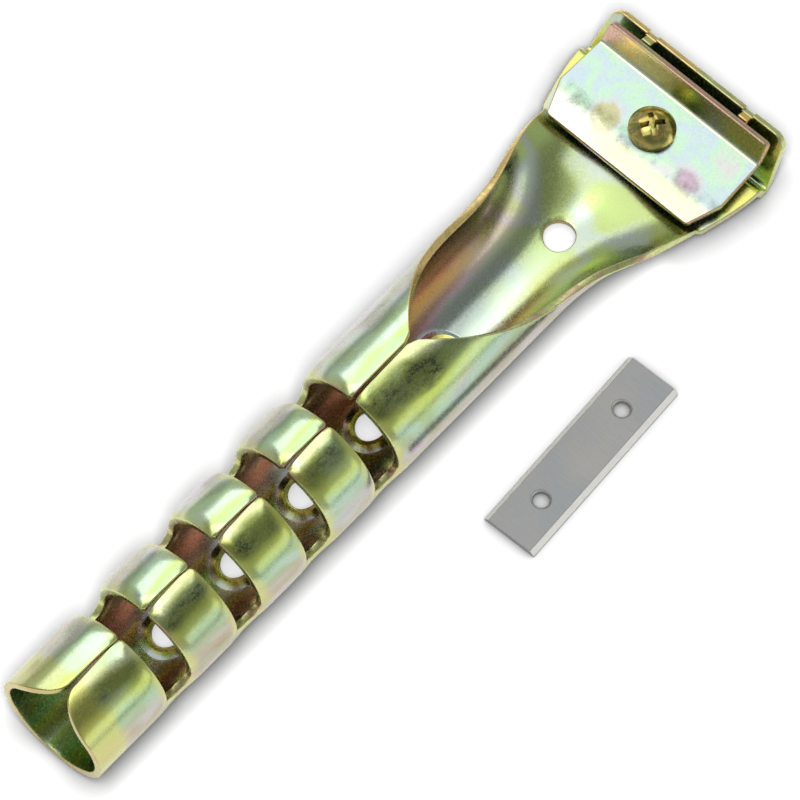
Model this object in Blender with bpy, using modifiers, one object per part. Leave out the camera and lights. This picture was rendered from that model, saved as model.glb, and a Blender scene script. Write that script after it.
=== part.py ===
"""Carbide paint scraper: one rolled steel sheet as handle and jaw, a clamp plate with its screw and nut, and a
loose blade.

Each sheet piece is a flat blank with its outline, windows and holes, folded along a side profile.
Tool coordinates: +X from the heel to the blade end, +Z up from the surface the tool lies on, seam up.
An empty then brings the middle of the second window, where the tool rests, to the origin.
"""
import math

import bmesh
import bpy
import numpy as np
from mathutils import Matrix, Vector
from mathutils.geometry import delaunay_2d_cdt

# Sheet and fits, in metres
SHEET = 0.0018
SEAT_GAP = 0.0003
RUNNING_GAP = 0.00005
CUT_OVERRUN = 0.002

# Rolled handle
HEEL_OUTER_RADIUS = 0.0141
SEAM_END_OUTER_RADIUS = 0.01525
SEAM_GAP = 0.0008
SEAM_LENGTH = 0.1143
SEAM_END_ROUND = 0.0016
HEEL_ROUND_LENGTH = 0.007
HEEL_ROUND_WIDTH = 0.011
REST_STRIP = 0.0023

# Windows across the seam, spread evenly from the first to a plain length before the seam's end
WINDOW_COUNT = 4
WINDOW_FIRST = 0.0255
SEAM_AFTER_WINDOWS = 0.0228
WINDOW_PITCH = (SEAM_LENGTH - SEAM_AFTER_WINDOWS - WINDOW_FIRST) / (WINDOW_COUNT - 1)
WINDOW_WIDTH = 0.0077
WINDOW_REACH = math.radians(105)
WINDOW_CORNER = 0.0013

# Raised rings along the back wall, half a pitch after each window, the last one blind
RING_COUNT = 4
RING_HOLE_RADIUS = 0.0039
RING_BASE_RADIUS = 0.0063
RING_RISE = 0.0014
BOSS_AFTER_SEAM = 0.0102
BOSS_AT = SEAM_LENGTH + BOSS_AFTER_SEAM

# Open channel between the tube and the jaw
NECK_AT = 0.1743
NECK_HALF_WIDTH = 0.0226
FLARE_POWER = 2.5
ROLL_FADE_START = 0.148
ROLL_FADE_END = 0.187
HANG_HOLE_AT = 0.166
HANG_HOLE_RADIUS = 0.00375

# Jaw: floor ramp, seat, trough and the wall that the blade stands against
RAMP_START = 0.1675
RAMP_END = 0.1825
RAMP_BEND = 0.06
SEAT_LIFT = 0.0035
SEAT_FRONT = 0.2034
SEAT_BEND = 0.0015
TROUGH_SLOPE = math.radians(60.3)
TROUGH_BEND = 0.0018
WALL_ANGLE = math.radians(63)
WALL_TOP = 0.0136
WALL_CORNER = 0.0035
STEP_AT = 0.1865
STEP_LENGTH = 0.001
STEP_OUT = 0.001
TROUGH_OUT = 0.0044
WALL_IN = 0.0015
TROUGH_HALF_WIDTH = NECK_HALF_WIDTH + TROUGH_OUT
WALL_TOP_HALF_WIDTH = TROUGH_HALF_WIDTH - WALL_IN

# Tabs on the wall that hold the blade by its holes
TAB_SPACING = 0.0285
TAB_WIDTH = 0.0034
TAB_THICK = 0.0015
TAB_LENGTH = 0.0018
TAB_BELOW_EDGE = 0.0016
TAB_NOTCH = 0.0006

# Clamp screw and nut, on the seat behind its front
SCREW_BEHIND_FRONT = 0.0064
SCREW_AT = SEAT_FRONT - SCREW_BEHIND_FRONT
BORE_RADIUS = 0.0025
SCREW_HOLE_RADIUS = 0.0028
SCREW_LENGTH = 0.0093
HEAD_RADIUS = 0.0055
HEAD_HEIGHT = 0.0036
HEAD_SIDE = 0.0012
RECESS_DEPTH = 0.0022
RECESS_REACH = 0.0031
RECESS_WIDTH = 0.0013
NUT_ACROSS_FLATS = 0.008
NUT_HEIGHT = 0.0027

# Clamp plate
CLAMP_BEHIND_SCREW = 0.0117
CLAMP_REAR = SCREW_AT - CLAMP_BEHIND_SCREW
CLAMP_RISE_RUN = 0.0084
CLAMP_RISE = 0.001
CLAMP_TOP = 0.0096
CLAMP_TO_WALL = 0.0022
CLAMP_REAR_IN = 0.0015
CLAMP_IN = 0.0031
LIP_IN = 0.0022
CLAMP_REAR_HALF = NECK_HALF_WIDTH - CLAMP_REAR_IN
CLAMP_HALF = TROUGH_HALF_WIDTH - CLAMP_IN
LIP_HALF = WALL_TOP_HALF_WIDTH - LIP_IN
CLAMP_BEND = 0.002
CLAMP_REAR_BEND = 0.004
CLAMP_CORNER = 0.0012
LIP_LENGTH = 0.0065

# Blade
BLADE_LENGTH = 0.051
BLADE_WIDTH = 0.014
BLADE_THICK = 0.0016
BLADE_BEVEL = 0.0012
BLADE_EDGE = 0.0002
BLADE_HOLE_RADIUS = 0.002
BLADE_SINK_RADIUS = 0.00245
BLADE_SINK_DEPTH = 0.0004
BLADE_AT_X = 0.1293
BLADE_AT_Y = -0.0384
BLADE_TURN = math.radians(2.2)

# Facets
EDGE_STEP = 0.0024
LENGTH_STEP = 0.0047
ARC_FACETS = 6
BEND_FACETS = 5
MERGE = 0.00001
POINT_SPACE = EDGE_STEP / 8
CDT_EPSILON_SHARE = 0.000001
ROUND_FACETS = 32
HOLE_FACETS = 24
HEX_SIDES = 6

QUARTER = math.pi / 2
SHANK_RADIUS = BORE_RADIUS - RUNNING_GAP
WALL_WAY = np.array((math.cos(WALL_ANGLE), math.sin(WALL_ANGLE)))
WALL_OFF = np.array((-math.sin(WALL_ANGLE), math.cos(WALL_ANGLE)))


def make_collection(name):
    group = bpy.data.collections.new(name)
    bpy.context.scene.collection.children.link(group)
    return group


def metal(name, colour, roughness):
    """A plain metal with the part's colour."""
    made = bpy.data.materials.new(name)
    made.use_nodes = True
    shader = made.node_tree.nodes["Principled BSDF"]
    shader.inputs["Base Color"].default_value = (*colour, 1)
    shader.inputs["Metallic"].default_value = 1
    shader.inputs["Roughness"].default_value = roughness
    return made


class Profile:
    """A side profile in X and Z: straight runs joined by round bends, measured along its length."""

    def __init__(self, corners, bends):
        corners = [np.array(corner, float) for corner in corners]
        self.parts = []
        self.length = 0.0
        here = corners[0]
        for corner, after, radius in zip(corners[1:-1], corners[2:], bends):
            before_way = (corner - here) / np.linalg.norm(corner - here)
            after_way = (after - corner) / np.linalg.norm(after - corner)
            cross = before_way[0] * after_way[1] - before_way[1] * after_way[0]
            turn = math.atan2(cross, before_way @ after_way)
            cut = radius * math.tan(abs(turn) / 2)
            side = math.copysign(1, turn)
            starts = corner - before_way * cut
            self.add_run(here, starts)
            centre = starts + side * radius * np.array((-before_way[1], before_way[0]))
            self.parts.append(("bend", self.length, centre, before_way, side, radius))
            self.length += radius * abs(turn)
            here = corner + after_way * cut
        self.add_run(here, corners[-1])

    def add_run(self, start, end):
        run = float(np.linalg.norm(end - start))
        self.parts.append(("run", self.length, start, (end - start) / run, 0.0, 0.0))
        self.length += run

    def at(self, s):
        """Point and forward direction at a length s along the profile."""
        kind, begins, base, way, side, radius = [p for p in self.parts if p[1] <= max(s, 0.0)][-1]
        if kind == "run":
            return base + way * (s - begins), way
        angle = side * (s - begins) / radius
        turned = np.array((way[0] * math.cos(angle) - way[1] * math.sin(angle),
                           way[0] * math.sin(angle) + way[1] * math.cos(angle)))
        return base - side * radius * np.array((-turned[1], turned[0])), turned

    def length_at_x(self, x):
        """Length along the profile where it reaches x."""
        low, high = 0.0, self.length
        for _ in range(60):
            middle = (low + high) / 2
            low, high = (middle, high) if self.at(middle)[0][0] < x else (low, middle)
        return low

    def columns(self):
        """Lengths at which the blank gets a row of points: even on runs, facet by facet on bends."""
        ends = [part[1] for part in self.parts[1:]] + [self.length]
        result = []
        for part, end in zip(self.parts, ends):
            span = end - part[1]
            tight = part[0] == "bend" and part[5] < LENGTH_STEP
            count = BEND_FACETS if tight else max(1, round(span / LENGTH_STEP))
            result += [part[1] + span * i / count for i in range(count)]
        return result[1:]

    def bend_columns(self):
        """The columns on tight bends and at their ends, where the blank's outline needs points too."""
        result = []
        for part, after in zip(self.parts, self.parts[1:]):
            if part[0] == "bend" and part[5] < LENGTH_STEP:
                result += list(np.linspace(part[1], after[1], BEND_FACETS + 1))
        return result


def fold(profile, curvature, s, t, lift=0.0):
    """Where a blank's point (s, t) lies once it is bent: t runs across it, lift is off its surface."""
    (x, z), way = profile.at(s)
    bend = curvature(s)
    angle = bend * t
    y = t
    rise = 0.0
    if bend and abs(t) > REST_STRIP / 2:
        y = math.sin(angle) / bend
        rise = (math.cos(bend * REST_STRIP / 2) - math.cos(angle)) / bend
    y -= math.sin(angle) * lift
    rise += math.cos(angle) * lift
    return Vector((x - way[1] * rise, y, z + way[0] * rise))


def flat_across(_):
    """Curvature of a piece that is flat from side to side."""
    return 0.0


def arc(centre, radii, start, end, count):
    """Points along an elliptical arc of a blank's outline."""
    angles = np.linspace(start, end, count + 1)
    return [(centre[0] + radii[0] * math.cos(a), centre[1] + radii[1] * math.sin(a)) for a in angles]


def circle(centre, radius, count=HOLE_FACETS):
    return arc(centre, (radius, radius), 0, math.tau, count)[:-1]


def mirrored(half):
    """A closed outline from its upper half."""
    return half + [(s, -t) for s, t in reversed(half[1:-1])]


def subdivide(points, bend_columns):
    """Adds points to a closed outline: at every bend column it crosses, else one for each step."""
    result = []
    for a, b in zip(points, points[1:] + points[:1]):
        low, high = min(a[0], b[0]) + POINT_SPACE, max(a[0], b[0]) - POINT_SPACE
        shares = [(c - a[0]) / (b[0] - a[0]) for c in bend_columns if low < c < high]
        if not shares:
            count = max(1, math.ceil(math.dist(a, b) / EDGE_STEP))
            shares = [i / count for i in range(1, count)]
        result.append(a)
        result += [(a[0] + (b[0] - a[0]) * w, a[1] + (b[1] - a[1]) * w) for w in sorted(shares)]
    return result


def area(a, b, c):
    """Area of a triangle in the flat blank."""
    return abs((b[0] - a[0]) * (c[1] - a[1]) - (b[1] - a[1]) * (c[0] - a[0])) / 2


def inside(loops, points):
    """Even and odd test of many points against closed loops."""
    points = np.array(points, float)
    hit = np.zeros(len(points), bool)
    for loop in loops:
        for a, b in zip(loop, loop[1:] + loop[:1]):
            if a[1] == b[1]:
                continue
            crosses = (a[1] > points[:, 1]) != (b[1] > points[:, 1])
            meets = a[0] + (points[:, 1] - a[1]) * (b[0] - a[0]) / (b[1] - a[1])
            hit ^= crosses & (points[:, 0] < meets)
    return hit


def blank_mesh(name, loops, guides, half_width, columns, place):
    """Fills a blank with triangles between its loops and folds every point with place(s, t)."""
    fixed = [point for loop in loops + guides for point in loop]
    reach = math.ceil(half_width / REST_STRIP)
    rows = [(i + 0.5) * REST_STRIP for i in range(-reach, reach)]
    grid = [(s, t) for s in columns for t in rows]
    known = np.array(fixed)
    free = [p for p, good in zip(grid, inside(loops, grid)) if good]
    free = [p for p in free if np.min(np.hypot(*(known - p).T)) > EDGE_STEP / 2]
    edges = []
    first = 0
    for loop in loops + guides:
        edges += [(first + i, first + (i + 1) % len(loop)) for i in range(len(loop))]
        first += len(loop)
    flat = [Vector((s / SHEET, t / SHEET)) for s, t in fixed + free]
    found, _, faces, *_ = delaunay_2d_cdt(flat, edges, [], 0, CDT_EPSILON_SHARE)
    points = [(p[0] * SHEET, p[1] * SHEET) for p in found]
    faces = [list(f) for f in faces if area(*(points[i] for i in f)) > MERGE * EDGE_STEP]
    centres = [(sum(points[i][0] for i in f) / 3, sum(points[i][1] for i in f) / 3) for f in faces]
    kept = [f for f, good in zip(faces, inside(loops, centres)) if good]
    made = bpy.data.meshes.new(name)
    made.from_pydata([place(s, t) for s, t in points], [], kept)
    work = bmesh.new()
    work.from_mesh(made)
    bmesh.ops.delete(work, geom=[v for v in work.verts if not v.link_faces], context="VERTS")
    bmesh.ops.recalc_face_normals(work, faces=work.faces)
    work.to_mesh(made)
    work.free()
    return made


def add_object(name, mesh, group, material):
    made = bpy.data.objects.new(name, mesh)
    group.objects.link(made)
    mesh.materials.append(material)
    return made


def round_shade(item):
    item.data.shade_smooth()
    item.data.set_sharp_from_angle(angle=math.radians(35))


def thicken(item):
    """Gives an open sheet its thickness."""
    solid = item.modifiers.new("thickness", "SOLIDIFY")
    solid.thickness = SHEET
    solid.offset = 0
    solid.use_even_offset = True


def bar_mesh(name, lower_radius, upper_radius, depth, facets=ROUND_FACETS):
    """A cone or cylinder along Z, centred on its middle."""
    work = bmesh.new()
    bmesh.ops.create_cone(work, cap_ends=True, segments=facets, radius1=lower_radius,
                          radius2=upper_radius, depth=depth)
    made = bpy.data.meshes.new(name)
    work.to_mesh(made)
    work.free()
    return made


def box_mesh(name, size, lower_share=1.0):
    """A box centred on its middle, its lower face narrowed along X by a share."""
    work = bmesh.new()
    bmesh.ops.create_cube(work, size=1)
    for vert in work.verts:
        narrow = lower_share if vert.co.z < 0 else 1.0
        vert.co = Vector((vert.co.x * size[0] * narrow, vert.co.y * size[1], vert.co.z * size[2]))
    made = bpy.data.meshes.new(name)
    work.to_mesh(made)
    work.free()
    return made


def change_with(item, name, mesh, cutters, matrix, operation):
    """Joins or cuts an object with a helper body, which is placed in the object's own space."""
    tool = bpy.data.objects.new(name, mesh)
    cutters.objects.link(tool)
    tool.parent = item
    tool.matrix_local = matrix
    tool.hide_render = True
    tool.display_type = "WIRE"
    change = item.modifiers.new(name, "BOOLEAN")
    change.operation = operation
    change.object = tool
    change.solver = "EXACT"


def body_profile():
    """Tube bottom, ramp, seat, trough and wall. The trough touches the surface that the tool lies on."""
    bottom = SHEET / 2
    seat = bottom + SEAT_LIFT
    cut = TROUGH_BEND * math.tan((TROUGH_SLOPE + WALL_ANGLE) / 2)
    sink = cut * math.sin(TROUGH_SLOPE) + TROUGH_BEND * math.cos(TROUGH_SLOPE) - TROUGH_BEND
    trough_z = bottom - sink
    trough_x = SEAT_FRONT + (seat - trough_z) / math.tan(TROUGH_SLOPE)
    wall_top = np.array((trough_x, trough_z)) + WALL_WAY * (WALL_TOP - trough_z) / WALL_WAY[1]
    corners = ((0, bottom), (RAMP_START, bottom), (RAMP_END, seat), (SEAT_FRONT, seat),
               (trough_x, trough_z), wall_top)
    return Profile(corners, (RAMP_BEND, RAMP_BEND, SEAT_BEND, TROUGH_BEND))


def tube_radius(s):
    """Radius of the sheet's middle, which grows from the heel on."""
    share = s / SEAM_LENGTH
    return HEEL_OUTER_RADIUS + (SEAM_END_OUTER_RADIUS - HEEL_OUTER_RADIUS) * share - SHEET / 2


def tube_half(s):
    """Half width of the blank where it is rolled into a tube."""
    return math.pi * tube_radius(s) - SEAM_GAP / 2


def body_curvature(s):
    """Curvature across the sheet: the tube's own, fading to flat before the jaw."""
    share = (s - ROLL_FADE_START) / (ROLL_FADE_END - ROLL_FADE_START)
    share = min(max(share, 0.0), 1.0)
    return (1 - share * share) / tube_radius(s)


def window_centre(index):
    return WINDOW_FIRST + index * WINDOW_PITCH


def ring_centre(index):
    return window_centre(index) + WINDOW_PITCH / 2


def window_outline(at):
    """One side of a window: rounded mouth at the seam and a round end down the tube's side."""
    half = WINDOW_WIDTH / 2
    corner = (WINDOW_CORNER, WINDOW_CORNER)
    mouth = tube_half(at) - WINDOW_CORNER
    end = tube_half(at) - WINDOW_REACH * tube_radius(at) + half
    points = arc((at - half - WINDOW_CORNER, mouth), corner, QUARTER, 0, ARC_FACETS // 2)
    points += arc((at, end), (half, half), math.pi, math.tau, ARC_FACETS * 2)
    points += arc((at + half + WINDOW_CORNER, mouth), corner, math.pi, QUARTER, ARC_FACETS // 2)
    return points


def channel_outline():
    """One side of the open channel, from the end of the seam to the jaw."""
    fall = tube_half(SEAM_LENGTH) - NECK_HALF_WIDTH
    run = NECK_AT - SEAM_LENGTH
    count = ARC_FACETS * 4
    points = [(SEAM_LENGTH - SEAM_END_ROUND, tube_half(SEAM_LENGTH - SEAM_END_ROUND))]
    for i in range(1, count + 1):
        share = i / count
        points.append((SEAM_LENGTH + run * share, NECK_HALF_WIDTH + fall * (1 - share) ** FLARE_POWER))
    return points


def jaw_outline(profile):
    """One side of the jaw: step out, widening to the trough, wall and a tab's notch in its edge."""
    trough = profile.parts[-2][1]
    narrow = NECK_HALF_WIDTH + STEP_OUT
    widened = STEP_AT + STEP_LENGTH
    points = [(STEP_AT, NECK_HALF_WIDTH)]
    for i in range(ARC_FACETS + 1):
        share = i / ARC_FACETS
        points.append((widened + (trough - widened) * share,
                       narrow + (TROUGH_HALF_WIDTH - narrow) * math.sin(share * QUARTER)))
    end = profile.length
    points += arc((end - WALL_CORNER, WALL_TOP_HALF_WIDTH - WALL_CORNER), (WALL_CORNER, WALL_CORNER),
                  QUARTER, 0, ARC_FACETS)
    for side in (1, -1):
        t = TAB_SPACING / 2 + side * TAB_WIDTH / 2
        notch = [(end, t), (end - TAB_NOTCH, t)]
        points += notch if side > 0 else notch[::-1]
    return points + [(end, 0.0)]


def body_half_outline(profile):
    """One side of the body's blank, from the middle of the heel to the middle of the wall's edge."""
    points = [(0.0, 0.0)]
    points += arc((HEEL_ROUND_LENGTH, tube_half(0) - HEEL_ROUND_WIDTH),
                  (-HEEL_ROUND_LENGTH, HEEL_ROUND_WIDTH), 0, QUARTER, ARC_FACETS * 2)
    for index in range(WINDOW_COUNT):
        points += window_outline(window_centre(index))
    return points + channel_outline() + jaw_outline(profile)


def ring_lift(s, t):
    """How far the raised rings and the blind boss lift the sheet towards the tube's axis."""
    for centre in [ring_centre(i) for i in range(RING_COUNT)] + [BOSS_AT]:
        away = math.hypot(s - centre, t)
        if away < RING_BASE_RADIUS:
            share = min((RING_BASE_RADIUS - away) / (RING_BASE_RADIUS - RING_HOLE_RADIUS), 1.0)
            return RING_RISE * share * share * (3 - 2 * share)
    return 0.0


def ring_guides():
    """Extra points round each raised ring and the boss, so that they keep their shape."""
    width = RING_BASE_RADIUS - RING_HOLE_RADIUS
    guides = [circle((ring_centre(i), 0), RING_HOLE_RADIUS + width * share)
              for i in range(RING_COUNT) for share in (0.5, 1.0)]
    return guides + [circle((BOSS_AT, 0), RING_HOLE_RADIUS + width * share) for share in (0.0, 0.5, 1.0)]


def make_body(group, cutters, material):
    profile = body_profile()
    loops = [subdivide(mirrored(body_half_outline(profile)), profile.bend_columns())]
    loops += [circle((ring_centre(i), 0), RING_HOLE_RADIUS) for i in range(RING_COUNT)]
    loops.append(circle((profile.length_at_x(HANG_HOLE_AT), 0), HANG_HOLE_RADIUS))
    loops.append(circle((profile.length_at_x(SCREW_AT), 0), SCREW_HOLE_RADIUS))

    def place(s, t):
        return fold(profile, body_curvature, s, t, ring_lift(s, t))

    width = tube_half(SEAM_LENGTH)
    mesh = blank_mesh("handle_body", loops, ring_guides(), width, profile.columns(), place)
    body = add_object("handle_body", mesh, group, material)
    thicken(body)
    (x, z), _ = profile.at(profile.length - TAB_BELOW_EDGE)
    depth = TAB_LENGTH + SHEET / 2
    along = Vector((WALL_WAY[0], 0, WALL_WAY[1]))
    off = Vector((WALL_OFF[0], 0, WALL_OFF[1]))
    turned = Matrix((along, off.cross(along), off)).transposed().to_4x4()
    for side, word in ((-1, "right"), (1, "left")):
        middle = Vector((x, side * TAB_SPACING / 2, z)) + off * depth / 2
        tab = box_mesh("tab_" + word, (TAB_THICK, TAB_WIDTH, depth))
        change_with(body, "tab_" + word, tab, cutters, Matrix.Translation(middle) @ turned, "UNION")
    round_shade(body)
    return body


def clamp_profile():
    """Rear rise, flat top and a lip that stands parallel to the jaw's wall."""
    wall_foot = body_profile().at(body_profile().length)[0]
    lip_line = wall_foot + WALL_OFF * (SHEET + CLAMP_TO_WALL)
    flat = CLAMP_TOP - SHEET / 2
    front = lip_line + WALL_WAY * (flat - lip_line[1]) / WALL_WAY[1]
    corners = ((CLAMP_REAR, flat - CLAMP_RISE), (CLAMP_REAR + CLAMP_RISE_RUN, flat), front,
               front + WALL_WAY * LIP_LENGTH)
    return Profile(corners, (CLAMP_REAR_BEND, CLAMP_BEND))


def make_clamp(group, material):
    """Clamp plate, with its origin on the screw's axis at its top face."""
    profile = clamp_profile()
    corner = (CLAMP_CORNER, CLAMP_CORNER)
    half = [(0.0, 0.0)]
    half += arc((CLAMP_CORNER, CLAMP_REAR_HALF - CLAMP_CORNER), (-CLAMP_CORNER, CLAMP_CORNER), 0, QUARTER,
                ARC_FACETS // 2)
    half.append((CLAMP_RISE_RUN, CLAMP_HALF))
    half += arc((profile.length - CLAMP_CORNER, LIP_HALF - CLAMP_CORNER), corner, QUARTER, 0, ARC_FACETS // 2)
    half.append((profile.length, 0.0))
    hole = circle((profile.length_at_x(SCREW_AT), 0), SCREW_HOLE_RADIUS)
    pivot = Vector((SCREW_AT, 0, CLAMP_TOP))

    def place(s, t):
        return fold(profile, flat_across, s, t) - pivot

    loops = [subdivide(mirrored(half), profile.bend_columns()), hole]
    mesh = blank_mesh("clamp_plate", loops, [], CLAMP_HALF, profile.columns(), place)
    clamp = add_object("clamp_plate", mesh, group, material)
    clamp.location = pivot
    thicken(clamp)
    round_shade(clamp)
    return clamp


def make_screw(group, cutters, material):
    """Pan head screw turned about Z, with its origin under the head on the screw's axis."""
    dome = HEAD_HEIGHT - HEAD_SIDE
    radius = (HEAD_RADIUS ** 2 + dome ** 2) / (2 * dome)
    spread = math.asin(HEAD_RADIUS / radius)
    angles = [spread * i / ARC_FACETS for i in range(ARC_FACETS + 1)]
    outline = [(radius * math.sin(a), HEAD_HEIGHT - radius * (1 - math.cos(a))) for a in angles]
    chamfer = SHANK_RADIUS / 3
    outline += [(HEAD_RADIUS, 0.0), (SHANK_RADIUS, 0.0), (SHANK_RADIUS, chamfer - SCREW_LENGTH),
                (SHANK_RADIUS - chamfer, -SCREW_LENGTH), (0.0, -SCREW_LENGTH)]
    mesh = bpy.data.meshes.new("clamp_screw")
    mesh.from_pydata([(r, 0, z) for r, z in outline], [(i, i + 1) for i in range(len(outline) - 1)], [])
    screw = add_object("clamp_screw", mesh, group, material)
    screw.location = (SCREW_AT, 0, CLAMP_TOP + SEAT_GAP)
    turn = screw.modifiers.new("turned", "SCREW")
    turn.steps = turn.render_steps = ROUND_FACETS
    turn.use_merge_vertices = True
    turn.merge_threshold = RUNNING_GAP / 10
    depth = RECESS_DEPTH + CUT_OVERRUN
    middle = Matrix.Translation((0, 0, HEAD_HEIGHT - RECESS_DEPTH + depth / 2))
    for index, word in enumerate(("first", "second")):
        wing = box_mesh("recess_" + word, (RECESS_REACH * 2, RECESS_WIDTH, depth), lower_share=0.5)
        turned = Matrix.Rotation(QUARTER / 2 + index * QUARTER, 4, "Z")
        change_with(screw, "recess_" + word, wing, cutters, middle @ turned, "DIFFERENCE")
    round_shade(screw)
    return screw


def make_nut(group, cutters, material):
    """Thin hex nut held under the seat, with two flats facing the heel and the trough."""
    corner_radius = NUT_ACROSS_FLATS / 2 / math.cos(math.pi / HEX_SIDES)
    mesh = bar_mesh("clamp_nut", corner_radius, corner_radius, NUT_HEIGHT, HEX_SIDES)
    nut = add_object("clamp_nut", mesh, group, material)
    nut.location = (SCREW_AT, 0, SEAT_LIFT - SEAT_GAP - NUT_HEIGHT / 2)
    bore = bar_mesh("nut_bore", BORE_RADIUS, BORE_RADIUS, NUT_HEIGHT + CUT_OVERRUN)
    change_with(nut, "nut_bore", bore, cutters, Matrix.Identity(4), "DIFFERENCE")
    return nut


def make_blade(group, cutters, material):
    """A reversible blade with a cutting edge ground along each long side."""
    half = BLADE_WIDTH / 2
    top = half - BLADE_BEVEL
    section = [(-half, 0), (half, 0), (half, BLADE_EDGE), (top, BLADE_THICK), (-top, BLADE_THICK),
               (-half, BLADE_EDGE)]
    work = bmesh.new()
    face = work.faces.new([work.verts.new((-BLADE_LENGTH / 2, y, z)) for y, z in section])
    swept = bmesh.ops.extrude_face_region(work, geom=[face])
    moved = [v for v in swept["geom"] if isinstance(v, bmesh.types.BMVert)]
    bmesh.ops.translate(work, verts=moved, vec=(BLADE_LENGTH, 0, 0))
    bmesh.ops.recalc_face_normals(work, faces=work.faces)
    mesh = bpy.data.meshes.new("blade")
    work.to_mesh(mesh)
    work.free()
    blade = add_object("blade", mesh, group, material)
    blade.location = (BLADE_AT_X, BLADE_AT_Y, 0)
    blade.rotation_euler.z = BLADE_TURN
    slope = BLADE_SINK_RADIUS - BLADE_HOLE_RADIUS
    for side, word in ((-1, "near"), (1, "far")):
        x = side * TAB_SPACING / 2
        hole = bar_mesh("hole_" + word, BLADE_HOLE_RADIUS, BLADE_HOLE_RADIUS, BLADE_THICK + CUT_OVERRUN)
        hole_at = Matrix.Translation((x, 0, BLADE_THICK / 2))
        change_with(blade, "hole_" + word, hole, cutters, hole_at, "DIFFERENCE")
        sink = bar_mesh("sink_" + word, BLADE_HOLE_RADIUS, BLADE_SINK_RADIUS + slope, BLADE_SINK_DEPTH * 2)
        sink_at = Matrix.Translation((x, 0, BLADE_THICK))
        change_with(blade, "sink_" + word, sink, cutters, sink_at, "DIFFERENCE")
    return blade


def main():
    for item in list(bpy.data.objects):
        bpy.data.objects.remove(item)
    group = make_collection("carbide_paint_scraper")
    cutters = make_collection("cutters")
    plated = metal("yellow_zinc", (0.62, 0.58, 0.3), 0.25)
    screw_zinc = metal("zinc_screw", (0.6, 0.53, 0.33), 0.22)
    carbide = metal("ground_carbide", (0.5, 0.5, 0.5), 0.4)
    pieces = [make_body(group, cutters, plated), make_clamp(group, plated),
              make_screw(group, cutters, screw_zinc), make_nut(group, cutters, screw_zinc),
              make_blade(group, cutters, carbide)]
    stand = bpy.data.objects.new("scraper", None)
    group.objects.link(stand)
    stand.location.x = -window_centre(1)
    for piece in pieces:
        piece.parent = stand
    bpy.context.view_layer.update()


main()
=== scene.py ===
import math

import bmesh
import bpy
import numpy as np
from mathutils import Matrix, Vector
from mathutils.geometry import delaunay_2d_cdt


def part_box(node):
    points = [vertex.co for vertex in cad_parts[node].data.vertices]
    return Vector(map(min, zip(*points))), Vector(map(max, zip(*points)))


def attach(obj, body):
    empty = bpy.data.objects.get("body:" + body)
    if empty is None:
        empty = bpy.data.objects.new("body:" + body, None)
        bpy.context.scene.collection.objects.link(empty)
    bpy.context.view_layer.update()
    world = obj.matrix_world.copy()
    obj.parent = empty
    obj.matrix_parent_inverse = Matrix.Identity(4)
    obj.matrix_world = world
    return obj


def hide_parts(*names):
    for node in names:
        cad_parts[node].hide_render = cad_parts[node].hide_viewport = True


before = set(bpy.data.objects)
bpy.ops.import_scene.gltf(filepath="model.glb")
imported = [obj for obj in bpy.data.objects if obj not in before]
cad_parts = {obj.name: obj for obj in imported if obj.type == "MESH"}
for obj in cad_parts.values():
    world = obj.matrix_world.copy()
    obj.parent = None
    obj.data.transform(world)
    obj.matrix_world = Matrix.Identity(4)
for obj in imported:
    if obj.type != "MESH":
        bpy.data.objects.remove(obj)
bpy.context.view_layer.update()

# Where the tool's heel lies in the frame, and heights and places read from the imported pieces
HEEL_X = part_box("handle_body")[0].x
SCREW_LOW, SCREW_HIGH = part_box("clamp_screw")
SCREW_AT = (SCREW_LOW.x + SCREW_HIGH.x) / 2 - HEEL_X
NUT_LOW, NUT_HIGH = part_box("clamp_nut")

# Sheet, in metres, along the tool from its heel
SHEET = 0.0018
RIM_ROUND = 0.0003
RIM_FACETS = 4
HEEL_OUTER_RADIUS = 0.0141
SEAM_END_OUTER_RADIUS = 0.01525
SEAM_GAP = 0.0004
SEAM_LENGTH = 0.1143
SEAM_END_ROUND = 0.0016
HEEL_ROUND_LENGTH = 0.007
HEEL_ROUND_WIDTH = 0.011
REST_STRIP = 0.0023

# Windows, rings and holes
WINDOW_COUNT = 4
WINDOW_FIRST = 0.0255
WINDOW_PITCH = 0.022
WINDOW_WIDTH = 0.0077
LAST_WINDOW = WINDOW_FIRST + WINDOW_PITCH * (WINDOW_COUNT - 1)
WINDOW_REACH = math.radians(105)
WINDOW_CORNER = 0.0013
DRAW_DEPTH = 0.0009
DRAW_REACH = 0.0036
RING_COUNT = 4
RING_HOLE_RADIUS = 0.0039
RING_BASE_RADIUS = 0.0065
RING_TOP_RADIUS = 0.0051
RING_RISE = 0.0014
BOSS_AT = 0.1258
HANG_HOLE_AT = 0.166
HANG_HOLE_RADIUS = 0.00375

# Channel and jaw
NECK_AT = 0.1743
NECK_HALF_WIDTH = 0.0226
FLARE_POWER = 2.5
ROLL_FADE_START = 0.148
ROLL_FADE_END = 0.187
RAMP_START = 0.1675
RAMP_END = 0.1825
RAMP_BEND = 0.06
SEAT_LIFT = 0.0035
SEAT_FRONT = 0.2034
SEAT_BEND = 0.0015
TROUGH_SLOPE = math.radians(60.3)
TROUGH_BEND = 0.0018
WALL_ANGLE = math.radians(63)
WALL_TOP = 0.0136
WALL_CORNER = 0.0035
STEP_AT = 0.1865
STEP_LENGTH = 0.001
STEP_OUT = 0.001
TROUGH_HALF_WIDTH = 0.027
WALL_TOP_HALF_WIDTH = 0.0255
TAB_SPACING = 0.0285
TAB_WIDTH = 0.0027
TAB_THICK = 0.0015
TAB_LENGTH = 0.0018
TAB_BELOW_EDGE = 0.0016
TAB_NOTCH = 0.0006

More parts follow.
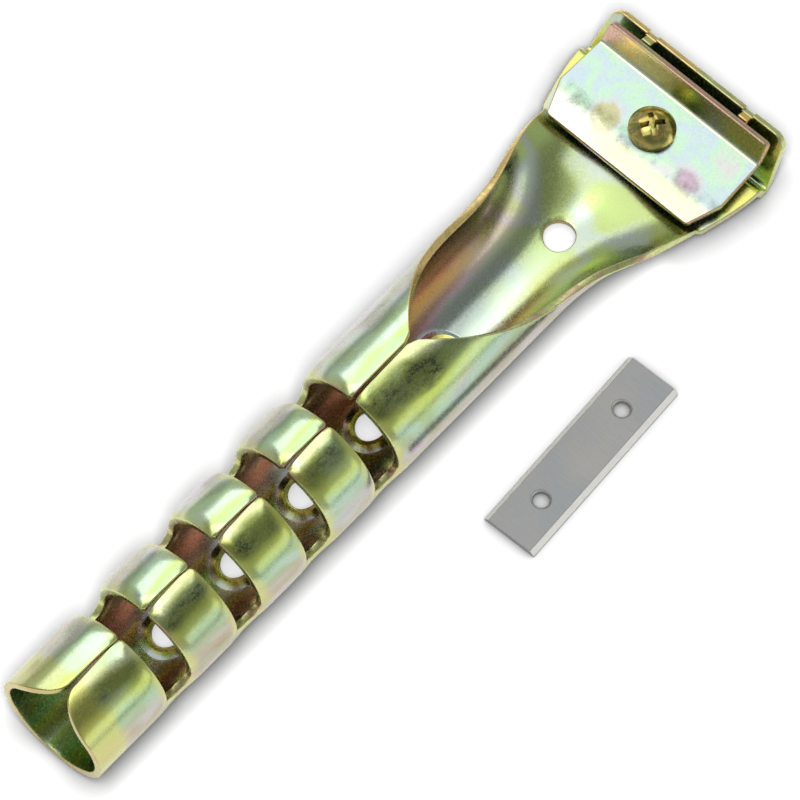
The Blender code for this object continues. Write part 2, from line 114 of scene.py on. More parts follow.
# Clamp plate
CLAMP_REAR = 0.1848
CLAMP_RISE_RUN = 0.0084
CLAMP_RISE = 0.001
CLAMP_TOP = 0.0096
CLAMP_TO_WALL = 0.0022
CLAMP_REAR_HALF = 0.0211
CLAMP_HALF = 0.0239
LIP_HALF = 0.0233
CLAMP_BEND = 0.002
CLAMP_REAR_BEND = 0.004
CLAMP_CORNER = 0.0012
LIP_LENGTH = 0.0065
SCREW_HOLE_RADIUS = 0.0028

# Screw, nut and blade
BORE_RADIUS = 0.0025
SHANK_RADIUS = 0.00245
THREAD_PITCH = 0.0008
THREAD_DEPTH = 0.0004
HEAD_RADIUS = 0.0055
HEAD_HEIGHT = 0.0036
HEAD_SIDE = 0.0011
RECESS_DEPTH = 0.0022
RECESS_REACH = 0.0041
RECESS_WIDTH = 0.0013
RECESS_TAPER = 0.6
RECESS_TURN = math.radians(53)
NUT_ACROSS_FLATS = 0.008
BLADE_LENGTH = 0.051
BLADE_WIDTH = 0.014
BLADE_THICK = 0.0016
BLADE_BEVEL = 0.0012
BLADE_EDGE = 0.0002
BLADE_HOLE_RADIUS = 0.002
BLADE_SINK_DEPTH = 0.00035
BLADE_TURN = math.radians(2.2)
BLADE_ROUND = 0.00008

# Fineness of the meshes
EDGE_STEP = 0.0009
LENGTH_STEP = 0.0013
ROW_STEP = REST_STRIP / 2
ARC_FACETS = 10
BEND_FACETS = 10
HOLE_FACETS = 64
ROUND_FACETS = 96
CHANNEL_FACETS = 60
TIGHT_BEND = SHEET * 3
SLIVER = 0.000005
WELD = 0.000002
POINT_NEAR = 1e-6
MITRE_LIMIT = 0.7
HALVINGS = 60

# Camera, in metres, from the lie of the tool in the photograph
CAMERA_AT = (-0.3299, -0.3045, 1.1163)
CAMERA_RIGHT = (0.6641, -0.747, 0.0309)
CAMERA_BACK = (-0.323, -0.2493, 0.913)
LENS_MM = 248.3
SENSOR_MM = 36
CLIP_START = 0.05

QUARTER = math.pi / 2
WALL_WAY = np.array((math.cos(WALL_ANGLE), math.sin(WALL_ANGLE)))
WALL_OFF = np.array((-math.sin(WALL_ANGLE), math.cos(WALL_ANGLE)))


class Profile:
    """A side profile in X and Z: straight runs joined by round bends, measured along its length."""

    def __init__(self, corners, bends):
        corners = [np.array(corner, float) for corner in corners]
        self.parts = []
        self.length = 0.0
        here = corners[0]
        for corner, after, radius in zip(corners[1:-1], corners[2:], bends):
            before_way = (corner - here) / np.linalg.norm(corner - here)
            after_way = (after - corner) / np.linalg.norm(after - corner)
            cross = before_way[0] * after_way[1] - before_way[1] * after_way[0]
            turn = math.atan2(cross, before_way @ after_way)
            cut = radius * math.tan(abs(turn) / 2)
            side = math.copysign(1, turn)
            starts = corner - before_way * cut
            self.add_run(here, starts)
            centre = starts + side * radius * np.array((-before_way[1], before_way[0]))
            self.parts.append(("bend", self.length, centre, before_way, side, radius))
            self.length += radius * abs(turn)
            here = corner + after_way * cut
        self.add_run(here, corners[-1])

    def add_run(self, start, end):
        run = float(np.linalg.norm(end - start))
        self.parts.append(("run", self.length, start, (end - start) / run, 0.0, 0.0))
        self.length += run

    def at(self, s):
        """Point and forward direction at a length s along the profile."""
        kind, begins, base, way, side, radius = [p for p in self.parts if p[1] <= max(s, 0.0)][-1]
        if kind == "run":
            return base + way * (s - begins), way
        angle = side * (s - begins) / radius
        turned = np.array((way[0] * math.cos(angle) - way[1] * math.sin(angle),
                           way[0] * math.sin(angle) + way[1] * math.cos(angle)))
        return base - side * radius * np.array((-turned[1], turned[0])), turned

    def length_at_x(self, x):
        """Length along the profile where it reaches x."""
        low, high = 0.0, self.length
        for _ in range(HALVINGS):
            middle = (low + high) / 2
            low, high = (middle, high) if self.at(middle)[0][0] < x else (low, middle)
        return low

    def columns(self):
        """Lengths at which the blank gets a row of points: even on runs, facet by facet on bends."""
        ends = [part[1] for part in self.parts[1:]] + [self.length]
        result = []
        for part, end in zip(self.parts, ends):
            span = end - part[1]
            count = BEND_FACETS if self.is_tight(part) else max(1, round(span / LENGTH_STEP))
            result += [part[1] + span * i / count for i in range(count)]
        return result[1:]

    def is_tight(self, part):
        return part[0] == "bend" and part[5] < TIGHT_BEND

    def bend_columns(self):
        """The columns on tight bends and at their ends, where the blank's outline needs points too."""
        result = []
        for part, after in zip(self.parts, self.parts[1:]):
            if self.is_tight(part):
                result += list(np.linspace(part[1], after[1], BEND_FACETS + 1))
        return result


def fold(profile, curvature, s, t, lift=0.0):
    """Where a blank's point (s, t) lies once it is bent: t runs across it, lift is off its surface."""
    (x, z), way = profile.at(s)
    bend = curvature(s)
    angle = bend * t
    y = t
    rise = 0.0
    if bend and abs(t) > REST_STRIP / 2:
        y = math.sin(angle) / bend
        rise = (math.cos(bend * REST_STRIP / 2) - math.cos(angle)) / bend
    y -= math.sin(angle) * lift
    rise += math.cos(angle) * lift
    return Vector((HEEL_X + x - way[1] * rise, y, z + way[0] * rise))


def flat_across(_):
    """Curvature of a piece that is flat from side to side."""
    return 0.0


def arc(centre, radii, start, end, count):
    """Points along an elliptical arc of a blank's outline."""
    angles = np.linspace(start, end, count + 1)
    return [(centre[0] + radii[0] * math.cos(a), centre[1] + radii[1] * math.sin(a)) for a in angles]


def circle(centre, radius, count=HOLE_FACETS):
    return arc(centre, (radius, radius), 0, math.tau, count)[:-1]


def mirrored(half):
    """A closed outline from its upper half."""
    return half + [(s, -t) for s, t in reversed(half[1:-1])]


def subdivide(points, bend_columns):
    """Adds points to a closed outline: at every bend column it crosses, else one for each step."""
    result = []
    for a, b in zip(points, points[1:] + points[:1]):
        low, high = min(a[0], b[0]) + EDGE_STEP / 8, max(a[0], b[0]) - EDGE_STEP / 8
        shares = [(c - a[0]) / (b[0] - a[0]) for c in bend_columns if low < c < high]
        if not shares:
            count = max(1, math.ceil(math.dist(a, b) / EDGE_STEP))
            shares = [i / count for i in range(1, count)]
        result.append(a)
        result += [(a[0] + (b[0] - a[0]) * w, a[1] + (b[1] - a[1]) * w) for w in sorted(shares)]
    return result


def area(a, b, c):
    """Area of a triangle in the flat blank, negative where it turns clockwise."""
    return ((b[0] - a[0]) * (c[1] - a[1]) - (b[1] - a[1]) * (c[0] - a[0])) / 2


def inward(loop):
    """For each point of a loop with the sheet on its right, a step of one metre into the sheet."""
    steps = []
    for before, here, after in zip(loop[-1:] + loop[:-1], loop, loop[1:] + loop[:1]):
        first = np.array((here[1] - before[1], before[0] - here[0])) / math.dist(before, here)
        second = np.array((after[1] - here[1], here[0] - after[0])) / math.dist(here, after)
        middle = (first + second) / np.linalg.norm(first + second)
        steps.append(middle / max(middle @ first, MITRE_LIMIT))
    return steps


def rim_rows():
    """How far in from the edge and off the middle surface each row round a sheared edge lies."""
    angles = [QUARTER * i / RIM_FACETS for i in range(RIM_FACETS + 1)]
    upper = [(RIM_ROUND * (1 - math.sin(a)), SHEET / 2 - RIM_ROUND * (1 - math.cos(a))) for a in angles]
    return upper + [(inset, -lift) for inset, lift in reversed(upper)]


def inside(loops, points):
    """Even and odd test of many points against closed loops."""
    points = np.array(points, float)
    hit = np.zeros(len(points), bool)
    for loop in loops:
        for a, b in zip(loop, loop[1:] + loop[:1]):
            if a[1] == b[1]:
                continue
            crosses = (a[1] > points[:, 1]) != (b[1] > points[:, 1])
            meets = a[0] + (points[:, 1] - a[1]) * (b[0] - a[0]) / (b[1] - a[1])
            hit ^= crosses & (points[:, 0] < meets)
    return hit


def blank_mesh(name, outlines, guides, half_width, columns, place):
    """Fills a blank between its outlines and folds it into two skins, joined by a rounded rim.

    The faces above, those below and the rim take the first, second and third material.
    """
    steps = [inward(outline) for outline in outlines]
    loops = [[(s + step[0] * RIM_ROUND, t + step[1] * RIM_ROUND) for (s, t), step in zip(outline, moves)]
             for outline, moves in zip(outlines, steps)]
    fixed = [point for loop in loops + guides for point in loop]
    reach = math.ceil(half_width / ROW_STEP)
    rows = [(i + 0.5) * ROW_STEP for i in range(-reach, reach)]
    grid = [(s, t) for s in columns for t in rows]
    known = np.array(fixed)
    free = [p for p, good in zip(grid, inside(loops, grid)) if good]
    free = [p for p in free if np.min(np.hypot(*(known - p).T)) > EDGE_STEP / 2]
    edges = []
    first = 0
    for loop in loops + guides:
        edges += [(first + i, first + (i + 1) % len(loop)) for i in range(len(loop))]
        first += len(loop)
    flat = [Vector((s / SHEET, t / SHEET)) for s, t in fixed + free]
    found, _, faces, *_ = delaunay_2d_cdt(flat, edges, [], 0, POINT_NEAR)
    points = [(p[0] * SHEET, p[1] * SHEET) for p in found]
    sizes = [area(*(points[i] for i in f)) for f in faces]
    faces = [list(f) if size > 0 else list(f)[::-1]
             for f, size in zip(faces, sizes) if abs(size) > SLIVER * EDGE_STEP]
    centres = [(sum(points[i][0] for i in f) / 3, sum(points[i][1] for i in f) / 3) for f in faces]
    above = [f for f, good in zip(faces, inside(loops, centres)) if good]
    below = [[i + len(points) for i in reversed(f)] for f in above]
    places = [place(s, t, lift) for lift in (SHEET / 2, -SHEET / 2) for s, t in points]
    rim = []
    for outline, moves in zip(outlines, steps):
        count = len(outline)
        for row, (inset, lift) in enumerate(rim_rows()):
            first = len(places)
            places += [place(s + step[0] * inset, t + step[1] * inset, lift)
                       for (s, t), step in zip(outline, moves)]
            if row:
                rim += [(first - count + i, first - count + (i + 1) % count,
                         first + (i + 1) % count, first + i) for i in range(count)]
    made = bpy.data.meshes.new(name)
    made.from_pydata(places, [], above + below + rim)
    made.polygons.foreach_set("material_index", [0] * len(above) + [1] * len(below) + [2] * len(rim))
    work = bmesh.new()
    work.from_mesh(made)
    bmesh.ops.delete(work, geom=[v for v in work.verts if not v.link_faces], context="VERTS")
    bmesh.ops.remove_doubles(work, verts=work.verts, dist=SLIVER)
    work.to_mesh(made)
    work.free()
    return made


def add_piece(name, mesh, body, node, slot, *materials):
    """A finished piece that stands for a CAD node and moves with its body."""
    made = bpy.data.objects.new(name, mesh)
    bpy.context.scene.collection.objects.link(made)
    for material in materials:
        mesh.materials.append(material)
    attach(made, body)
    if node:
        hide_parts(node)
    return made


def round_shade(item, degrees=40):
    item.data.shade_smooth()
    item.data.set_sharp_from_angle(angle=math.radians(degrees))


def rounded(item, width, segments=2, degrees=30):
    soft = item.modifiers.new("edges", "BEVEL")
    soft.width = width
    soft.segments = segments
    soft.limit_method = "ANGLE"
    soft.angle_limit = math.radians(degrees)


def mesh_of(work, name):
    """A mesh from what was built, which is then freed."""
    made = bpy.data.meshes.new(name)
    work.to_mesh(made)
    work.free()
    return made


def bar_mesh(name, lower_radius, upper_radius, depth, facets=ROUND_FACETS):
    """A cone or cylinder along Z, centred on its middle."""
    work = bmesh.new()
    bmesh.ops.create_cone(work, cap_ends=True, segments=facets, radius1=lower_radius,
                          radius2=upper_radius, depth=depth)
    return mesh_of(work, name)


def box_mesh(name, size, lower_share=1.0):
    """A box centred on its middle, its lower face narrowed along X by a share."""
    work = bmesh.new()
    bmesh.ops.create_cube(work, size=1)
    for vert in work.verts:
        narrow = lower_share if vert.co.z < 0 else 1.0
        vert.co = Vector((vert.co.x * size[0] * narrow, vert.co.y * size[1], vert.co.z * size[2]))
    return mesh_of(work, name)


def baked(item):
    """Replaces an object's mesh with its evaluated one and drops its modifiers."""
    bpy.context.view_layer.update()
    shown = item.evaluated_get(bpy.context.evaluated_depsgraph_get())
    mesh = bpy.data.meshes.new_from_object(shown)
    item.modifiers.clear()
    item.data = mesh


def cut_with(item, mesh, matrix):
    """Cuts a piece with a helper body, and removes the helper."""
    tool = bpy.data.objects.new("helper", mesh)
    bpy.context.scene.collection.objects.link(tool)
    tool.matrix_world = matrix
    cut = item.modifiers.new("cut", "BOOLEAN")
    cut.operation = "DIFFERENCE"
    cut.object = tool
    cut.solver = "EXACT"
    baked(item)
    bpy.data.objects.remove(tool)


# Materials
def node(tree, kind, **inputs):
    made = tree.nodes.new(kind)
    for name, value in inputs.items():
        made.inputs[name.replace("_", " ")].default_value = value
    return made


def ramp(tree, source, stops):
    """A colour ramp through given (place, colour) stops."""
    made = tree.nodes.new("ShaderNodeValToRGB")
    tree.links.new(source, made.inputs["Fac"])
    line = made.color_ramp
    while len(line.elements) < len(stops):
        line.elements.new(0.5)
    for element, (place, colour) in zip(line.elements, stops):
        element.position = place
        element.color = (*colour, 1)
    return made.outputs["Color"]


def mix(tree, factor, a, b, blend="MIX"):
    made = tree.nodes.new("ShaderNodeMix")
    made.data_type = "RGBA"
    made.blend_type = blend
    if isinstance(factor, float):
        made.inputs["Factor"].default_value = factor
    else:
        tree.links.new(factor, made.inputs["Factor"])
    tree.links.new(a, made.inputs["A"])
    tree.links.new(b, made.inputs["B"])
    return made.outputs["Result"]


def plain(tree, colour):
    """A single colour."""
    made = tree.nodes.new("ShaderNodeRGB")
    made.outputs[0].default_value = (*colour, 1)
    return made.outputs[0]


def noise(tree, place, scale, detail=3.0, roughness=0.5, distortion=0.0):
    made = node(tree, "ShaderNodeTexNoise", Scale=scale, Detail=detail, Roughness=roughness,
                Distortion=distortion)
    tree.links.new(place, made.inputs["Vector"])
    return made.outputs["Fac"]


def stretched(tree, source, scale):
    made = node(tree, "ShaderNodeMapping", Scale=scale)
    tree.links.new(source, made.inputs["Vector"])
    return made.outputs["Vector"]


def remap(tree, source, low, high, to_low, to_high):
    made = node(tree, "ShaderNodeMapRange", From_Min=low, From_Max=high, To_Min=to_low, To_Max=to_high)
    tree.links.new(source, made.inputs["Value"])
    return made.outputs["Result"]


def waver(tree, source, reach):
    """A noise spread to a reach on either side of nothing."""
    return remap(tree, source, NOISE_LOW, NOISE_HIGH, -reach, reach)


def maths(tree, operation, *values):
    """A maths node on links or numbers."""
    made = tree.nodes.new("ShaderNodeMath")
    made.operation = operation
    for socket, value in zip(made.inputs, values):
        if isinstance(value, (int, float)):
            socket.default_value = value
        else:
            tree.links.new(value, socket)
    return made.outputs["Value"]


def parts_of(tree, vector):
    """X, Y and Z of a vector."""
    made = tree.nodes.new("ShaderNodeSeparateXYZ")
    tree.links.new(vector, made.inputs[0])
    return made.outputs["X"], made.outputs["Y"], made.outputs["Z"]


def band(tree, source, low, high, soft):
    """One between low and high, falling to nothing over a soft margin on each side."""
    rise = remap(tree, source, low - soft, low + soft, 0.0, 1.0)
    fall = remap(tree, source, high - soft, high + soft, 1.0, 0.0)
    return maths(tree, "MULTIPLY", rise, fall)


def off_nearest(tree, x, first):
    """How far x is from the nearest of a row of places along the tool, one window's pitch apart."""
    return maths(tree, "PINGPONG", maths(tree, "SUBTRACT", x, HEEL_X + first), WINDOW_PITCH / 2)


def distance(tree, x, y):
    squares = maths(tree, "ADD", maths(tree, "POWER", x, 2.0), maths(tree, "POWER", y, 2.0))
    return maths(tree, "SQRT", squares)


def spot(tree, x, y, radius):
    """A round patch with a soft edge."""
    return remap(tree, distance(tree, x, y), radius - SPOT_SOFT, radius + SPOT_SOFT, 1.0, 0.0)


def new_material(name):
    made = bpy.data.materials.new(name)
    made.use_nodes = True
    tree = made.node_tree
    place = tree.nodes.new("ShaderNodeTexCoord").outputs["Object"]
    return made, tree, tree.nodes["Principled BSDF"], place


def bumped(tree, shader, height, strength, depth):
    bump = node(tree, "ShaderNodeBump", Strength=strength, Distance=depth)
    tree.links.new(height, bump.inputs["Height"])
    tree.links.new(bump.outputs["Normal"], shader.inputs["Normal"])


# Colours of the zinc film outside; in the bands round the tube and across the channel, CREAM, ICE and
# WHITE_MINT above all paint highlights, and DARK paints dark specks of wear and, on the tube's outside,
# shade
LIME = (0.36, 0.47, 0.08)
YELLOW_LIME = (0.42, 0.49, 0.12)
PALE_LIME = (0.54, 0.66, 0.26)
SOFT_LIME = (0.41, 0.50, 0.20)
YELLOW = (0.60, 0.60, 0.16)
CREAM = (0.76, 0.77, 0.46)
MINT = (0.50, 0.70, 0.46)
WHITE_MINT = (0.72, 0.86, 0.70)
COOL_MINT = (0.31, 0.43, 0.34)
ICE = (0.60, 0.76, 0.64)
STONE = (0.31, 0.37, 0.33)
LIGHT_STONE = (0.42, 0.49, 0.43)
PALE_STONE = (0.52, 0.56, 0.54)
LAVENDER = (0.60, 0.46, 0.56)
MAUVE = (0.42, 0.29, 0.36)
GREY_ROSE = (0.33, 0.30, 0.31)
ROSE = (0.50, 0.28, 0.24)
RUSSET = (0.27, 0.18, 0.16)
BROWN = (0.30, 0.13, 0.08)
OLIVE = (0.24, 0.27, 0.07)
SOFT_OLIVE = (0.30, 0.36, 0.11)
GREEN = (0.24, 0.37, 0.08)
GOLD = (0.58, 0.44, 0.15)
# The next colour, lime beside the windows, is film tint that also paints a highlight on their drawn-in
# edges
FRINGE_HIGHLIGHT = (0.56, 0.55, 0.13)
DARK = (0.05, 0.06, 0.04)

# Inside the tube, channel and jaw
DEEP_BROWN = (0.50, 0.32, 0.24)
DEEP_TEAL = (0.46, 0.58, 0.46)
DEEP_GREEN = (0.42, 0.62, 0.18)
# The pale collar colour paints a highlight on the outer shoulders of the rings and the boss
COLLAR_HIGHLIGHT = (0.78, 0.84, 0.86)
SOFT_GREEN = (0.43, 0.56, 0.20)
SOFT_BROWN = (0.55, 0.21, 0.26)
SOFT_ROSE = (0.66, 0.34, 0.51)

# Edges, tabs, plate and lip
EDGE_LIME = (0.52, 0.55, 0.24)
EDGE_ROSE = (0.50, 0.33, 0.24)
EDGE_GOLD = (0.74, 0.55, 0.22)
EDGE_BRASS = (0.46, 0.38, 0.14)
TAB_GOLD = (0.85, 0.52, 0.14)
DULL_YELLOW = (0.44, 0.41, 0.20)
# The next two colours paint the highlight on the plate's rear rise
STRAW = (0.74, 0.69, 0.58)
WHITE_CREAM = (0.87, 0.87, 0.68)
PALE_MINT = (0.42, 0.60, 0.43)
PALE_SKY = (0.43, 0.52, 0.56)
PALE_ROSE = (0.52, 0.50, 0.50)
LIP_GOLD = (0.95, 0.68, 0.23)
LIP_BRASS = (0.92, 0.76, 0.32)
LIP_ROSE = (0.62, 0.40, 0.30)
LIP_OLIVE = (0.48, 0.46, 0.12)
LIP_GREEN = (0.32, 0.45, 0.14)
LIP_GREY = (0.36, 0.36, 0.24)

# Carbide: lines across the blade, tones over them, and bevels with their slope
LINE_DARK = (0.27, 0.272, 0.27)
LINE_PALE = (0.36, 0.36, 0.355)
TONE_COOL = (0.86, 0.9, 0.93)
TONE_WARM = (1.0, 0.97, 0.93)
BEVEL_PALE = (0.66, 0.65, 0.62)
BEVEL_SLOPE = (0.55, 0.78, 0.05)

# Where the colour changes: degrees round the tube from its seam, where film hues carry painted highlights
# and painted dark reflections, and millimetres from the tool's middle
FILM_AND_PAINTED_LIGHT_ROUND_THE_TUBE = ((-180, GREEN), (-125, STONE), (-100, BROWN), (-90, RUSSET), (-78, MAUVE), (-66, STONE),
                  (-56, COOL_MINT), (-47, SOFT_LIME), (-38, YELLOW_LIME), (-31, SOFT_OLIVE),
                  (-15, SOFT_OLIVE), (-8, CREAM), (0, MINT), (6, PALE_LIME), (12, ICE), (18, ICE),
                  (25, MINT), (30, STONE), (35, PALE_STONE), (39, LAVENDER), (45, PALE_STONE),
                  (52, LAVENDER), (62, GREY_ROSE), (80, GREY_ROSE), (100, STONE), (130, GREEN),
                  (180, LIME))
ACROSS_THE_TUBE = ((-14, DEEP_BROWN), (-8, DEEP_BROWN), (-5, DEEP_TEAL), (0, DEEP_GREEN), (4, DEEP_TEAL),
                   (9, DEEP_BROWN), (13, DEEP_BROWN))
# Across the channel: film hues, with white mint just right of the middle as a painted highlight streak
# along its bottom
FILM_AND_PAINTED_STREAK_ACROSS_THE_CHANNEL = ((-15, STONE), (-11, LIME), (-7, YELLOW), (-3, WHITE_MINT), (2, STONE),
                      (6, LIGHT_STONE), (9, SOFT_ROSE), (13, SOFT_BROWN))
ALONG_THE_LIP = ((0.04, LIP_ROSE), (0.14, LIP_GOLD), (0.28, LIP_BRASS), (0.42, LIP_BRASS),
                 (0.52, LIP_OLIVE), (0.62, LIP_GREEN), (0.75, LIP_GREY), (0.9, LIP_OLIVE))
HALF_ACROSS_MM = 16
NOISE_LOW = 0.3
NOISE_HIGH = 0.7
PATCH_SHARE = 0.32
SPOT_SOFT = 0.0003
TUBE_AXIS = (HEEL_OUTER_RADIUS + SEAM_END_OUTER_RADIUS) / 2

# Fringes beside the windows, film tint with a painted highlight, and in degrees from the seam: scuffs
# deepened by painted shade, and a painted dark reflection streak
FRINGE_NEAR = 0.0002
FRINGE_FAR = 0.0026
FRINGE_RAGGED = 0.0009
FRINGE_SHARE = 0.55
FRINGE_END = LAST_WINDOW + 0.01
FRINGE_END_SOFT = 0.001
NEAR_SCUFF_AND_SHADE = (-31.0, -14.0, 5.0)
FAR_DARK_REFLECTION = (40.0, 50.0, 6.0)
SCUFF_AND_SHADE_SHARE = 0.95

# Along the tool from its heel: where the heel's film ends, and where the channel's and the jaw's begin
HEEL_FILM = (0.014, 0.026)
CHANNEL_FILM = (SEAM_LENGTH - 0.004, SEAM_LENGTH + 0.008)
JAW_FILM = (SEAM_LENGTH + 0.026, SEAM_LENGTH + 0.055)
BRASS_EDGE = (0.006, 0.012)
GOLD_EDGE = (SEAM_LENGTH - 0.004, SEAM_LENGTH + 0.004)

# Rings: the rise above the sheet over which their tops turn gold, gold film lightened as a painted
# highlight, and the reach and top of the pale painted highlight on their feet
GILT_AND_HIGHLIGHT_RISE = (0.0003, 0.0012)
HIGHLIGHT_FOOT_REACH = (-0.0009, 0.0002)
HIGHLIGHT_FOOT_TOP = (0.002, 0.003)

# Plate, from its rear edge: cream strip painted as a highlight on the rear rise, a line of wear, and stains
# (place across, colour and reach)
HIGHLIGHT_STRIP = (0.0044, 0.0068)
WORN_LINE = (0.0052, 0.0082)
STAIN_FROM_REAR = 0.0078
STAINS = ((0.0102, DULL_YELLOW, 0.0046), (-0.0138, MAUVE, 0.0062))
LIP_FILM = (0.0003, 0.0012)
# The next heights over the plate's top: the cream line painted as a highlight along the front fold
FOLD_HIGHLIGHT = (0.00003, 0.0003)


def finish(made, tree, shader, place, colour, rough=(0.16, 0.3), dark_marks=None):
    """Ends a film material: colour, roughness grain, dull dark specks and a fine bump; the specks mark
    wear, and on the tube's outside they also paint shade.
    """
    roughness = remap(tree, noise(tree, place, 1500.0, 4.0, 0.6), NOISE_LOW, NOISE_HIGH, *rough)
    if dark_marks is not None:
        specks = remap(tree, noise(tree, place, 2600.0, 5.0, 0.75), 0.4, 0.54, 0.4, 1.0)
        colour = mix(tree, maths(tree, "MULTIPLY", dark_marks, specks), colour, plain(tree, DARK))
        roughness = maths(tree, "ADD", roughness, maths(tree, "MULTIPLY", dark_marks, 0.2))
    tree.links.new(colour, shader.inputs["Base Color"])
    tree.links.new(roughness, shader.inputs["Roughness"])
    shader.inputs["Metallic"].default_value = 1.0
    bumped(tree, shader, noise(tree, place, 1100.0, 5.0, 0.65), 0.15, 0.00006)
    return made


def across_tool(tree, y, stops):
    """A colour ramp over places in millimetres from the tool's middle."""
    half = HALF_ACROSS_MM / 1000
    return ramp(tree, remap(tree, y, -half, half, 0.0, 1.0),
                [((at + HALF_ACROSS_MM) / (2 * HALF_ACROSS_MM), hue) for at, hue in stops])


def from_heel(tree, x, ends):
    """Rises from nothing to one between two places along the tool."""
    return remap(tree, x, HEEL_X + ends[0], HEEL_X + ends[1], 0.0, 1.0)


def degrees_round(tree, y, z, wander):
    """Degrees round the tube from its seam, wandering a little."""
    angle = maths(tree, "ARCTAN2", y, maths(tree, "SUBTRACT", z, TUBE_AXIS))
    return maths(tree, "ADD", maths(tree, "DEGREES", angle), wander)


def outer_film():
    """Outside of the tube: bands along it that paint highlights and dark reflections by angle, patches,
    fringes at the windows with a painted highlight, and scuffs beside the seam deepened by painted shade.
    """
    made, tree, shader, place = new_material("zinc_film_outside")
    x, y, z = parts_of(tree, place)
    drawn = stretched(tree, place, (0.45, 1.0, 1.0))
    around = degrees_round(tree, y, z, waver(tree, noise(tree, drawn, 60.0), 12.0))
    # Colour by angle round the tube: film hues with painted highlights and painted dark reflections
    colour = ramp(tree, remap(tree, around, -180.0, 180.0, 0.0, 1.0),
                  [((angle + 180) / 360, hue) for angle, hue in FILM_AND_PAINTED_LIGHT_ROUND_THE_TUBE])
    patches = ramp(tree, noise(tree, drawn, 75.0, 2.0, 0.5, 0.8),
                   ((0.3, LAVENDER), (0.38, MINT), (0.48, LIME), (0.56, YELLOW_LIME), (0.63, MINT),
                    (0.7, LAVENDER)))
    colour = mix(tree, PATCH_SHARE, colour, patches)
    # Lime fringe beside each window: film tint with a painted highlight
    from_window = maths(tree, "ADD", off_nearest(tree, x, WINDOW_FIRST),
                        waver(tree, noise(tree, place, 240.0), FRINGE_RAGGED))
    half = WINDOW_WIDTH / 2
    fringe = remap(tree, from_window, half + FRINGE_NEAR, half + FRINGE_FAR, FRINGE_SHARE, 0.0)
    end = HEEL_X + FRINGE_END
    before_end = remap(tree, x, end - FRINGE_END_SOFT, end + FRINGE_END_SOFT, 1.0, 0.0)
    fringe = maths(tree, "MULTIPLY", fringe, before_end)
    colour = mix(tree, fringe, colour, plain(tree, FRINGE_HIGHLIGHT))
    along = noise(tree, stretched(tree, place, (1.0, 0.3, 0.3)), 130.0, 2.0)
    marks = noise(tree, stretched(tree, place, (0.35, 1.0, 1.0)), 620.0, 3.0, 0.6)
    # Scuffs beside the seam deepened by painted shade, and farther round a painted dark reflection streak
    near = maths(tree, "MULTIPLY", band(tree, around, *NEAR_SCUFF_AND_SHADE), remap(tree, along, 0.35, 0.6, 0.5, 1.0))
    near = maths(tree, "MULTIPLY", near, remap(tree, marks, 0.4, 0.58, 0.45, 1.15))
    near = maths(tree, "MULTIPLY", near, remap(tree, fringe, 0.0, 0.5, 1.0, 0.2))
    far = maths(tree, "MULTIPLY", band(tree, around, *FAR_DARK_REFLECTION), remap(tree, along, 0.4, 0.6, 0.15, 0.5))
    dark_marks = maths(tree, "MULTIPLY", maths(tree, "MAXIMUM", near, far), SCUFF_AND_SHADE_SHARE)
    return finish(made, tree, shader, place, colour, dark_marks=dark_marks)


